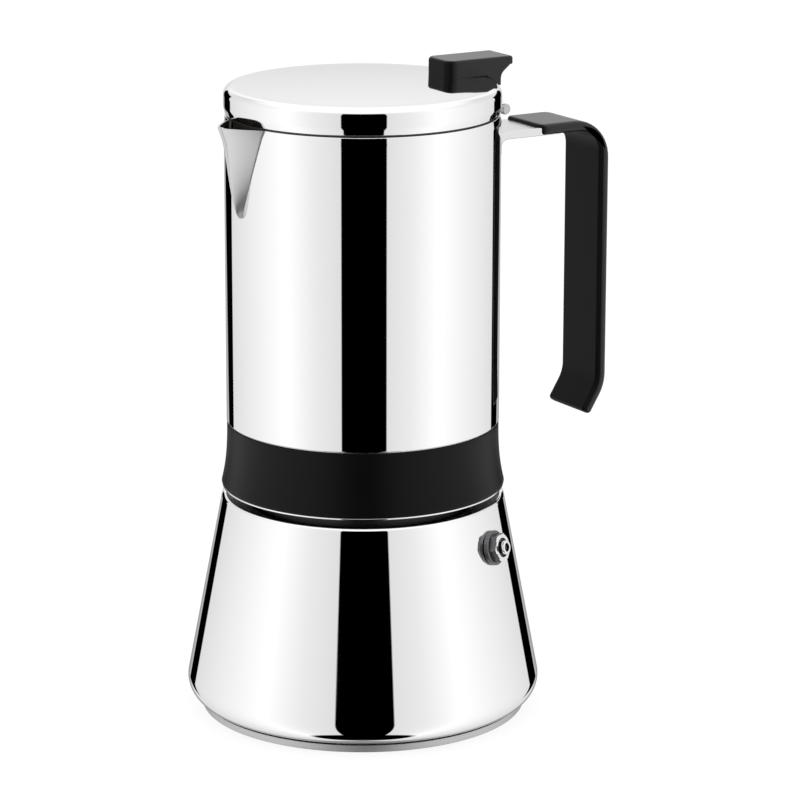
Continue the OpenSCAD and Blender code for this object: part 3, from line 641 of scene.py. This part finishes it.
# ---------------------------------------------------------------- Seal and filter plate
# A soft silicone ring, moulded with round edges, sits on the basket's rim. The thin pierced filter
# plate lies on it, under the floor of the pot.
(_, _, seal_low), (seal_radius, _, seal_top) = corners_of("gasket")
seal_inner = 28.6
seal_line = outline(
    (seal_inner, seal_low, 0.5), (seal_radius, seal_low, 0.5), (seal_radius, seal_top, 0.7),
    (seal_inner, seal_top, 0.7))
piece("seal_ring", turned(seal_line), seal, "seal_set", "seal_silicone", "gasket")
_, (filter_radius, _, _) = corners_of("filter_plate")
pierced_plate("filter_pierced_plate", "filter_plate", "seal_set", filter_radius, seal_inner - 3)


# ---------------------------------------------------------------- Threaded collar and pot floor
# The collar screws over the neck. Its thin flange shows as a bright line under the grip band. The
# pan of the floor is welded on it and rises in the middle into the coffee column.
(_, _, collar_low), (flange_radius, _, collar_top) = corners_of("threaded_collar")
collar_inner = 37.9
collar_radius_out = 38.7
flange_thickness = 0.6
collar_line = outline(
    (collar_inner, collar_low, 0.1), (flange_radius, collar_low, 0.25),
    (flange_radius, collar_low + flange_thickness, 0.25),
    (collar_radius_out, collar_low + flange_thickness, 0),
    (collar_radius_out, collar_top, 0), (collar_inner, collar_top, 0))
collar_thread_up = 3.2
collar_ridge = thread_ridge(collar_inner - thread_depth + ridge_wire, collar_low + collar_thread_up)
ridge_limit = (collar_inner + 0.4) * MM
for vertex in collar_ridge.verts:
    flat = Vector((vertex.co.x, vertex.co.y, 0))
    if flat.length > ridge_limit:
        vertex.co.x *= ridge_limit / flat.length
        vertex.co.y *= ridge_limit / flat.length


def flange_edge(face):
    """The flange's rim and its upper face, which stay mirror steel; the rest of the collar is
    painted dark as shade.
    """
    middle = face.calc_center_median() / MM
    return math.hypot(middle.x, middle.y) > flange_radius - 0.3 and face.normal.z > -0.5


# Painted shade: all of the collar except the flange's rim and upper face takes the dark thread
# steel.
piece("pot_thread_collar", joined(turned(collar_line), collar_ridge), shade_dark_thread_steel, "upper_pot",
      "satin_steel", "threaded_collar", other=mirror_steel, where=flange_edge)
pan_low, floor_high = heights_of("pot_floor")
pot_low, rim_height = heights_of("pot_wall")
pot_radius = 44.0
wall = 0.8
column_radius = 6.0
column_wall = 0.9
foot_radius = column_radius + 7
pan_radius = pot_radius - 0.6
floor_line = outline(
    (column_radius - column_wall, floor_high, 0), (foot_radius - wall, pan_low, 2.5),
    (collar_radius_out + wall, pan_low, 0.9), (collar_radius_out + wall, pot_low - wall, 0.5),
    (pan_radius, pot_low - wall, 0.1), (pan_radius, pot_low, 0),
    (collar_radius_out, pot_low, 1.2), (collar_radius_out, pan_low + wall, 0.8),
    (foot_radius, pan_low + wall, 3), (column_radius, floor_high, 0))
piece("pot_floor_pan", turned(floor_line), satin_steel, "upper_pot", "satin_steel", "pot_floor")


# ---------------------------------------------------------------- Pot wall and spout
# The pot is a seamless tube, mirror polished outside, with its rim rolled in a little. The spout is
# a pressed V of the same sheet, welded over a notch in the wall and dressed flush.
notch_inset = 1.0
spout_low, _ = heights_of("spout")
spout_height = rim_height - spout_low
spout_half_width = 11.8
spout_reach = 8.4
side_power = 0.95
belly_power = 0.4
lip_power = 8
lip_share = 0.26


def spout_half(share):
    """Half of the spout's width at a share of its height."""
    return spout_half_width * share ** side_power


def spout_ridge(share):
    """How far the ridge stands out of the wall at a share of its height: a belly, then the lip."""
    belly = (1 - lip_share) * share ** belly_power
    return spout_reach * (belly + lip_share * share ** lip_power)


rim_roll = 0.35
rim_rolled = 2.4
wall_line = outline(
    (pot_radius - wall, pot_low, 0), (pot_radius, pot_low, 0.7),
    (pot_radius, rim_height - rim_rolled, 6), (pot_radius - rim_roll, rim_height, 0.3),
    (pot_radius - wall - rim_roll, rim_height, 0.3),
    (pot_radius - wall, rim_height - rim_rolled, 5))
tube = object_of("tube", turned(wall_line, longest=6.0))
cutter = bmesh.new()
notch_side = []
notch_steps = 24
for i in range(2, notch_steps + 1):
    share = i / notch_steps
    notch_side.append((max(0.1, spout_half(share) - notch_inset), spout_low + share * spout_height))
notch_side.append((spout_half_width - notch_inset, rim_height + 3))
notch_points = notch_side + [(-y, z) for y, z in reversed(notch_side)]
notch_ends = []
for depth in (-pot_radius - 12, -pot_radius + 6):
    notch_ends.append([cutter.verts.new((depth * MM, y * MM, z * MM)) for y, z in notch_points])
    cutter.faces.new(notch_ends[-1])
skin(cutter, notch_ends)
notch = object_of("notch", outwards(cutter))
cut = tube.modifiers.new("notch", "BOOLEAN")
cut.object = notch
cut.solver = "EXACT"
plain_mesh(tube)
bpy.data.objects.remove(notch)
piece("pot_wall_tube", taken(tube), mirror_steel, "upper_pot", "polished_steel", "pot_wall",
      other=satin_steel, where=inner_face)

spout_steel = metal("dressed spout steel", (0.66, 0.66, 0.665), 0.34, 0.06, 0.05, 0.8, 0.03)
# Painted shade: near-black steel for the spout's inner faces and the lid's centring ring, which lie
# in shade by the lid.
shade_dark_steel = metal("steel painted dark as shade", (0.10, 0.095, 0.09), 0.40, 0.10, 0.10, 1.0, 0.15)
spout_rows = 48
spout_columns = 48
spout_round = 1.35
ridge_blunt = 0.105
ridge_width = 0.07
roll_from = 0.93
spout_bm = bmesh.new()


def spout_skin(share, across, depth):
    """A point of the spout's skin, or of its back "depth" behind it."""
    half = max(0.3, spout_half(share))
    y = half * across
    tube_x = math.sqrt(pot_radius ** 2 - y * y)
    if share > roll_from:
        tube_x -= rim_roll * ((share - roll_from) / (1 - roll_from)) ** 2
    rise = 1 - abs(across) ** spout_round
    blunted = 1 - ridge_blunt * math.exp(-(across / ridge_width) ** 2)
    out = spout_ridge(share) * rise * blunted
    back = max(-0.3, out - depth)
    stand = back if depth else out + 0.05
    return Vector((-(tube_x + stand), y, spout_low + share * spout_height))


spout_rims = []
for depth in (0, wall):
    rows = []
    for i in range(spout_rows + 1):
        share = 0.004 + 0.996 * (i / spout_rows) ** 1.4
        rows.append([spout_bm.verts.new(spout_skin(share, 2 * j / spout_columns - 1, depth) * MM)
                     for j in range(spout_columns + 1)])
    for one, two in zip(rows, rows[1:]):
        for j in range(spout_columns):
            spout_bm.faces.new((one[j], two[j], two[j + 1], one[j + 1]))
    spout_rims.append(rows[0] + [row[-1] for row in rows[1:]] + rows[-1][-2::-1]
                      + [row[0] for row in rows[-2:0:-1]])
skin(spout_bm, spout_rims)
outwards(spout_bm)
# The spout's inner faces take the painted shade.
piece("pouring_spout", spout_bm, spout_steel, "upper_pot", "polished_steel", "spout", crease=50,
      other=shade_dark_steel, where=inner_face)


# ---------------------------------------------------------------- Coffee column
# The column is a tube welded on the pot's floor, with two side holes near its top. A pressed cap
# turns the coffee down into the pot.
piece("column_tube", from_cad("coffee_column", 0.12, 40), satin_steel, "upper_pot", "satin_steel",
      "coffee_column")
column_top, cap_top = heights_of("column_cap")
cap_flat = column_radius * 0.45
column_cap_line = outline(
    (column_radius - column_wall, column_top, 0), (column_radius, column_top, 0.2),
    (cap_flat, cap_top, 1.4), (0, cap_top, 0), (0, cap_top - wall, 0),
    (cap_flat - column_wall, cap_top - wall, 0.4))
piece("column_top_cap", turned(column_cap_line, 96), satin_steel, "upper_pot", "satin_steel",
      "column_cap")


# ---------------------------------------------------------------- Grip band
# A thick band of matt black plastic is moulded round the joint, so the hot pot can be unscrewed by
# hand. It flares a little at its lower edge.
def moulded_skin():
    """The fine spark-eroded texture that a mould leaves on plastic, and the wear that shines it."""
    tree, given, result = open_tree(
        "ShaderNodeTree", "moulded skin", floats("Grain Scale", "Roughness", "Variation"),
        floats("Roughness", "Height", "Wear"))
    grain = cloud_of(tree, given.outputs["Grain Scale"])
    wear = cloud_of(tree, 55.0, 5.0)
    rough = sum_of(tree, "MULTIPLY_ADD", sum_of(tree, "SUBTRACT", wear, 0.5),
                   given.outputs["Variation"], given.outputs["Roughness"])
    for title, value in (("Roughness", rough), ("Height", grain), ("Wear", wear)):
        tree.links.new(value, result.inputs[title])
    return tree


SKIN = moulded_skin()


def plastic(name, colour, roughness, variation, grain_scale, grain_depth, inside=None, gloss=0.06):
    """Black moulded plastic with a grain "grain_depth" micrometres deep.

    Its satin coat fades out where the surface looks along "inside": painted shade on that side.
    """
    material, tree, surface = blank_material(name)
    skin = add_node(tree, "ShaderNodeGroup", {
        "Grain Scale": grain_scale, "Roughness": roughness, "Variation": variation},
        node_tree=SKIN).outputs
    tree.links.new(skin["Roughness"], surface.inputs["Roughness"])
    tinted(tree, surface, skin["Wear"], [c * 0.85 for c in colour], [c * 1.2 for c in colour])
    bumped(tree, surface, skin["Height"], 0.5, grain_depth)
    surface.inputs["Specular IOR Level"].default_value = gloss
    if inside is not None:
        # Painted shade: less coat on faces that look along "inside", so that side reads darker.
        normal = add_node(tree, "ShaderNodeTexCoord").outputs["Normal"]
        facing = add_node(tree, "ShaderNodeVectorMath", {0: normal, 1: inside},
                          operation="DOT_PRODUCT")
        satin = add_node(tree, "ShaderNodeMapRange", {
            "Value": facing.outputs["Value"], "From Min": 0.15, "From Max": 0.85,
            "To Min": 0.75, "To Max": 0.03}, interpolation_type="SMOOTHSTEP")
        tree.links.new(satin.outputs["Result"], surface.inputs["Coat Weight"])
        surface.inputs["Coat Roughness"].default_value = roughness
    return material


band_black = plastic("matt black band", (0.0008, 0.0008, 0.0009), 0.40, 0.08, 2400.0, 12,
                     gloss=0.15)
band_low = collar_low + flange_thickness
band_top = pot_low - 0.1
band_flare = 1.8
band_power = 2.6
band_steps = 18
band_side = []
for i in range(band_steps + 1):
    share = i / band_steps
    across = pot_radius - 0.1 + (band_flare + 0.1) * share ** band_power
    band_side.append((across, band_top - 0.5 - (band_top - 1.0 - band_low) * share, 0))
band_line = outline(
    (pot_radius - 0.5, band_top, 0.2), *band_side, (pot_radius + band_flare - 0.35, band_low, 0.2),
    (collar_radius_out, band_low, 0), (collar_radius_out, pan_low - 0.2, 0),
    (collar_radius_out + wall, pan_low - 0.2, 0), (collar_radius_out + wall, pot_low - wall, 0),
    (pan_radius, pot_low - wall, 0))
piece("grip_band_moulded", turned(band_line), band_black, "upper_pot", "band_plastic", "grip_band",
      crease=50)


# ---------------------------------------------------------------- Handle
# A bent steel strap is welded on the wall under the hinge. A black plastic sleeve is moulded over
# it for the grip, and turns in at its lower end.
def drawn_in(corners, inset):
    """Corners (across, up, radius of the bend) of a closed section drawn in by "inset"."""
    area = sum(a[0] * b[1] - b[0] * a[1] for a, b in zip(corners, corners[1:] + corners[:1]))
    side = 1 if area > 0 else -1
    result = []
    for i, (across, up, bend) in enumerate(corners):
        here = Vector((across, up))
        one = (here - Vector(corners[i - 1][:2])).normalized()
        two = (Vector(corners[(i + 1) % len(corners)][:2]) - here).normalized()
        in_one, in_two = Vector((-one.y, one.x)) * side, Vector((-two.y, two.x)) * side
        spot = here + (in_one + in_two) * (inset / (1 + in_one.dot(in_two)))
        outer = (one.x * two.y - one.y * two.x) * side > 0
        result.append((spot.x, spot.y, max(0.05, bend - inset if outer else bend + inset)))
    return result


def slab(section, width, edge, plan=0.0):
    """An upright plate across Y with rounded edges.

    section(back) gives its side's corners when its first end is "back" shorter; "plan" is the
    radius of that end's corners as seen from above.
    """
    slices = [(width / 2 - edge * (1 - math.cos(a)), edge * (1 - math.sin(a)))
              for a in [math.radians(15 * k) for k in range(7)]]
    turn = 60
    while turn >= 0 and plan > 0:
        y = width / 2 - plan + plan * math.sin(math.radians(turn))
        if y < slices[-1][0] - 0.05:
            slices.append((y, 0))
        turn -= 10
    slices += [(-y, inset) for y, inset in reversed(slices)]
    bm = bmesh.new()
    rings = []
    for y, inset in slices:
        over = min(plan, max(0, abs(y) - width / 2 + plan))
        back = plan - math.sqrt(max(0, plan ** 2 - over ** 2))
        side = outline(*drawn_in(section(back), inset))
        rings.append([bm.verts.new((x * MM, y * MM, z * MM)) for x, z in side])
    bm.faces.new(rings[0])
    bm.faces.new(rings[-1])
    skin(bm, rings)
    return outwards(bm)


strap_steel = metal("brushed strap steel", (0.70, 0.70, 0.705), 0.16, 0.10, 0.04, 1.0, 0.02)
# Painted shade on the sleeve's faces that look towards the pot.
handle_black = plastic("black handle with painted shade inside", (0.0025, 0.0025, 0.0028), 0.36, 0.10, 2600.0, 8,
                       (-1, 0, 0))
(sleeve_start, sleeve_side, sleeve_low), (sleeve_out, _, sleeve_top) = corners_of("handle_sleeve")
(_, strap_side, _), (_, _, strap_top) = corners_of("handle_strap")
strap_thickness = 2.6
strap_bend = 5.5
leg_low = strap_top - strap_bend - 2
strap_inner = strap_top - strap_thickness
leg_in = pot_radius - 0.3
tab_end = sleeve_start + 8


def tab_section(back):
    """Side of the steel tab: leg on the wall, bend, and the tab that runs into the sleeve."""
    return [(leg_in - back, leg_low, 0.3), (leg_in - back, strap_top, strap_bend),
            (tab_end, strap_top, 0.1), (tab_end, strap_inner, 0.1),
            (leg_in + strap_thickness, strap_inner, strap_bend - strap_thickness),
            (leg_in + strap_thickness, leg_low, 0.3)]


piece("handle_steel_strap", slab(tab_section, -2 * strap_side, 0.35), strap_steel, "upper_pot",
      "polished_steel", "handle_strap")

sleeve_edge = 1.7
sleeve_plan = 2.4
sleeve_thickness = 3.6
sleeve_corner = 15.0
inner_corner = 7.7
kick = math.radians(32)
kick_bend = 14.0
kick_end = 7.5
grip_in = sleeve_out - sleeve_thickness
kick_turn = Vector((-math.sin(kick), -math.cos(kick)))
kick_start = sleeve_low + kick_bend * math.sin(kick) + kick_end * math.cos(kick)
knee = kick_start - kick_bend * math.tan(kick / 2)
knee_in = kick_start - (kick_bend - sleeve_thickness) * math.tan(kick / 2)
end_out = Vector((sleeve_out, knee)) + kick_turn * (kick_bend * math.tan(kick / 2) + kick_end)
end_in = Vector((grip_in, knee_in))
end_in += kick_turn * ((kick_bend - sleeve_thickness) * math.tan(kick / 2) + kick_end)


def sleeve_section(back):
    """Side of the grip: from the tab round the corner, and down to the turned-in end."""
    return [(sleeve_start + back, sleeve_top, 1.2), (sleeve_out, sleeve_top, sleeve_corner),
            (sleeve_out, knee, kick_bend), (end_out.x, end_out.y, 1.3), (end_in.x, end_in.y, 1.3),
            (grip_in, knee_in, kick_bend - sleeve_thickness),
            (grip_in, sleeve_top - sleeve_thickness, inner_corner),
            (sleeve_start + back, sleeve_top - sleeve_thickness, 1.2)]


sleeve = slab(sleeve_section, -2 * sleeve_side, sleeve_edge, sleeve_plan)
piece("handle_grip_sleeve", sleeve, handle_black, "upper_pot", "handle_plastic", "handle_sleeve")


# ---------------------------------------------------------------- Hinge
# A small steel foot on the wall carries the middle knuckle. The pin runs through it and through the
# lid's two knuckles, and its ends are riveted over into round heads.
piece("hinge_foot_knuckle", from_cad("hinge_base", 0.15), mirror_steel, "upper_pot",
      "polished_steel", "hinge_base")
swing = next(j for j in frame["joints"] if j["name"] == "lid_hinge")
hinge_spot = Vector(swing["pos_m"]) / MM
(_, pin_side, _), (_, pin_end, _) = corners_of("hinge_pin")
# A darker steel for the rivet pin.
hinge_steel = metal("darker hinge steel", (0.50, 0.50, 0.51), 0.22, 0.10, 0.08, 1.0, 0.06)
pin_radius = 1.1
head_radius = 1.9
pin_place = Matrix.Translation(hinge_spot) @ Matrix.Rotation(-math.pi / 2, 4, "X")
head_flat = head_radius * 0.75
pin_line = outline(
    (0, pin_side - 0.5, 0), (head_flat, pin_side - 0.3, 0.6), (head_radius, pin_side + 0.55, 0.2),
    (pin_radius, pin_side + 0.6, 0), (pin_radius, pin_end - 0.6, 0),
    (head_radius, pin_end - 0.55, 0.2), (head_flat, pin_end + 0.3, 0.6), (0, pin_end + 0.5, 0))
piece("hinge_rivet_pin", turned(pin_line, 48, place=pin_place), hinge_steel, "upper_pot",
      "polished_steel", "hinge_pin")


# ---------------------------------------------------------------- Lid
# The lid is pressed from mirror-polished sheet: a very shallow dome, a rounded shoulder and a short
# skirt. A ring welded inside it centres it in the rim.
(_, _, lid_low), (lid_radius, _, lid_crown) = corners_of("lid_shell")
lid_dome = 0.7
lid_top = lid_crown - lid_dome
lid_bend = 2.9
lid_wall = 0.8
skirt_turn = 2.2
skirt_in = 0.55
dome_edge = lid_radius - lid_bend
dome_steps = 16
dome = [(dome_edge * k / dome_steps, lid_top + lid_dome * (1 - (k / dome_steps) ** 2), 0)
        for k in range(dome_steps)]
lid_line = outline(
    *dome, (lid_radius - 0.02, lid_top, lid_bend), (lid_radius, lid_low + skirt_turn, 4),
    (lid_radius - skirt_in, lid_low, 0.3), (lid_radius - skirt_in - lid_wall, lid_low, 0.3),
    (lid_radius - lid_wall, lid_low + skirt_turn, 3),
    (lid_radius - lid_wall, lid_top - lid_wall, lid_bend - lid_wall), (0, lid_crown - lid_wall, 0))
piece("lid_dome_skirt", turned(lid_line, 256), mirror_steel, "lid", "polished_steel", "lid_shell")
ring_low, _ = heights_of("lid_ring")
ring_radius = pot_radius - wall - 0.5
ring_wall = 0.6
ring_top = lid_low + 0.2
ring_out = lid_radius - lid_wall - 0.1
ring_line = outline(
    (ring_radius - ring_wall, ring_low, 0.2), (ring_radius, ring_low, 0.2),
    (ring_radius, ring_top, 0), (ring_out, ring_top, 0), (ring_out, ring_top + ring_wall, 0),
    (ring_radius - ring_wall, ring_top + ring_wall, 0.3))
# The centring ring is painted dark as shade under the lid.
piece("lid_centring_ring", turned(ring_line), shade_dark_steel, "lid", "satin_steel", "lid_ring")


# ---------------------------------------------------------------- Lid leaf, knob and screws
# The hinge's upper leaf is bent over the lid's shoulder and rolled round the pin. The black thumb
# knob sits on it, overhangs at the back and is held by two screws from inside the lid.
piece("lid_hinge_leaf", from_cad("lid_leaf", 0.15), mirror_steel, "lid", "polished_steel",
      "lid_leaf")
(knob_start, knob_side, knob_low), (knob_end, _, knob_top) = corners_of("lid_knob")
# Painted shade on the knob's side that looks in over the lid.
knob_black = plastic("black knob with painted shade on one side", (0.005, 0.005, 0.0055), 0.36, 0.10, 2600.0, 8,
                     (-0.94, -0.34, 0))
neck_x = hinge_spot.x - 0.5
neck_in = neck_x - 3
lip_low = knob_top - 2.8
cove = 3.6


def knob_section(back):
    """Side of the knob: a block with an overhanging thumb end and a neck outside the leaf."""
    return [(knob_start + back, lid_top - 0.1, 0.4), (knob_start + back, knob_top, 1.2),
            (knob_end, knob_top, 0.9), (knob_end, lip_low, 0.7),
            (neck_x + cove, lip_low, 0.5), (neck_x, lip_low - cove * 0.8, 3.2),
            (neck_x, knob_low, 0.4), (neck_in, knob_low, 0.4), (neck_in, lid_top - 2.4, 1.0),
            (neck_x - 6.2, lid_top - 0.1, 0.5)]


knob_edge = 0.9
knob_plan = 3.0
knob = slab(knob_section, -2 * knob_side, knob_edge, knob_plan)
piece("lid_thumb_knob", knob, knob_black, "lid", "knob_plastic", "lid_knob")
piece("knob_fixing_screws", from_cad("knob_screws", 0.3), satin_steel, "lid", "satin_steel",
      "knob_screws")


# ---------------------------------------------------------------- Floor, light and camera
# A pale floor, and a white studio all round the pot. Upright black cards stand in it, as they do
# when polished metal is lit, and give the steel its dark stripes.
camera_spot = Vector((-0.5867, -0.9765, 0.3976))
camera_turn = -math.radians(31.6025)
camera_pitch = 0.25426
camera_roll = 0.00192
floor_mesh = bpy.data.meshes.new("floor")
reach = 6.0
floor_mesh.from_pydata([(-reach, -reach, 0), (reach, -reach, 0), (reach, reach, 0),
                        (-reach, reach, 0)], [], [(0, 1, 2, 3)])
floor = placed("floor", floor_mesh)
floor.visible_glossy = False
floor_paint, _, floor_surface = blank_material("pale floor")
floor_surface.inputs["Base Color"].default_value = (0.20, 0.20, 0.20, 1)
floor_surface.inputs["Roughness"].default_value = 0.9
floor_surface.inputs["Specular IOR Level"].default_value = 0.0
floor_surface.inputs["Emission Color"].default_value = (1, 1, 1, 1)
floor_surface.inputs["Emission Strength"].default_value = 0.84
floor_mesh.materials.append(floor_paint)

studio = bpy.data.worlds.new("white studio")
bpy.context.scene.world = studio
studio.use_nodes = True
sky = studio.node_tree
sky.nodes.clear()


def sum_node(operation, *values, clamp=False):
    """Result of a Math node in the studio's tree."""
    return sum_of(sky, operation, *values, clamp=clamp)


def light_by(value, low, high, stops):
    """Brightness that follows "value" through stops of (value, brightness)."""
    share = sum_node("DIVIDE", sum_node("SUBTRACT", value, low), high - low)
    node = add_node(sky, "ShaderNodeFloatCurve", {"Value": share})
    curve = node.mapping.curves[0]
    points = [((at - low) / (high - low), light / 1.3) for at, light in stops]
    curve.points[0].location = points[0]
    curve.points[-1].location = points[-1]
    for at in points[1:-1]:
        curve.points.new(*at)
    for point in curve.points:
        point.handle_type = "VECTOR"
    node.mapping.update()
    return sum_node("MULTIPLY", node.outputs["Value"], 1.3)


def blend_node(share, one, two):
    """Goes from one value to the other as the share goes from 0 to 1."""
    return sum_node("MULTIPLY_ADD", sum_node("SUBTRACT", two, one), share, one)


def edge_at(value, at, soft=0.4):
    """0 below a border and 1 above it, with a soft edge."""
    offset = sum_node("SUBTRACT", value, at)
    return sum_node("MULTIPLY_ADD", offset, 0.5 / soft, 0.5, clamp=True)


def short_of(value, at, soft=0.4):
    """1 below a border and 0 above it, with a soft edge."""
    return sum_node("SUBTRACT", 1.0, edge_at(value, at, soft))


def both(*shares):
    """Product of shares."""
    result = shares[0]
    for share in shares[1:]:
        result = sum_node("MULTIPLY", result, share)
    return result


direction = add_node(sky, "ShaderNodeTexCoord").outputs["Generated"]
to_camera = math.atan2(camera_spot.y, camera_spot.x)
turn_back = add_node(sky, "ShaderNodeVectorRotate", {"Vector": direction, "Angle": -to_camera},
                     rotation_type="Z_AXIS")
split = add_node(sky, "ShaderNodeSeparateXYZ", {0: turn_back.outputs[0]}).outputs
degrees = 180 / math.pi
bearing = sum_node("MULTIPLY", sum_node("ARCTAN2", split["Y"], split["X"]), degrees)
height = sum_node("MULTIPLY", sum_node("ARCSINE", split["Z"]), degrees)
aside = sum_node("ABSOLUTE", bearing)
# Walls: light grey beside the cards, white at the lamps on both sides
walls = light_by(aside, 0, 180, [(0, 0.80), (19, 0.82), (40, 0.92), (66, 1.14), (95, 0.99),
                                 (137, 0.81), (150, 0.80), (180, 0.80)])
# Wall behind the pot: dark by the floor, and lighter the higher it goes
behind = light_by(height, -90, 90, [
    (-90, 0.30), (-19, 0.30), (-15.5, 0.38), (-11, 0.50), (-4, 0.74), (5, 0.77), (14.5, 0.97),
    (33, 1.15), (90, 1.15)])
room = blend_node(edge_at(aside, 157, 6), walls, behind)
middle = sum_node("ABSOLUTE", sum_node("SUBTRACT", bearing, 1.1))
front_half = 18.7
front_card = both(short_of(middle, front_half), short_of(height, 35, 2))
# A card on each side, behind the pot: its far edge leans, so the stripe thins towards the foot
card_end = sum_node("MINIMUM", sum_node("MULTIPLY_ADD", height, 1.6, 180.2), 162.0)
side_card = both(edge_at(sum_node("MULTIPLY_ADD", bearing, 0.008, aside), 139.8),
                 short_of(sum_node("SUBTRACT", aside, card_end), 0.0, 1), short_of(height, 12, 1))
table_card = short_of(sum_node("MULTIPLY_ADD", aside, 0.28, height), -50, 2)
dark = sum_node("MAXIMUM", sum_node("MAXIMUM", front_card, side_card), table_card)
overhead = edge_at(height, 41, 7)
bright = blend_node(overhead, room, 1.15)
light = both(bright, sum_node("SUBTRACT", 1.0, dark))
mixed = add_node(sky, "ShaderNodeCombineColor", {"Red": light, "Green": light, "Blue": light})
seen = add_node(sky, "ShaderNodeLightPath").outputs["Is Camera Ray"]
backdrop = add_node(sky, "ShaderNodeMix", {
    "Factor": seen, "A": mixed.outputs["Color"], "B": (1, 1, 1, 1)}, data_type="RGBA")
glow = add_node(sky, "ShaderNodeBackground", {"Color": backdrop.outputs["Result"]})
add_node(sky, "ShaderNodeOutputWorld", {"Surface": glow.outputs[0]})

camera = placed("camera", bpy.data.cameras.new("camera"))
bpy.context.scene.camera = camera
camera.matrix_world = (Matrix.Translation(camera_spot) @ Matrix.Rotation(camera_turn, 4, "Z")
                       @ Matrix.Rotation(math.pi / 2 - camera_pitch, 4, "X")
                       @ Matrix.Rotation(camera_roll, 4, "Z"))
camera.data.sensor_width = 36
camera.data.lens = 163.935
camera.data.clip_start = 0.05
bpy.context.scene.view_settings.view_transform = "Standard"
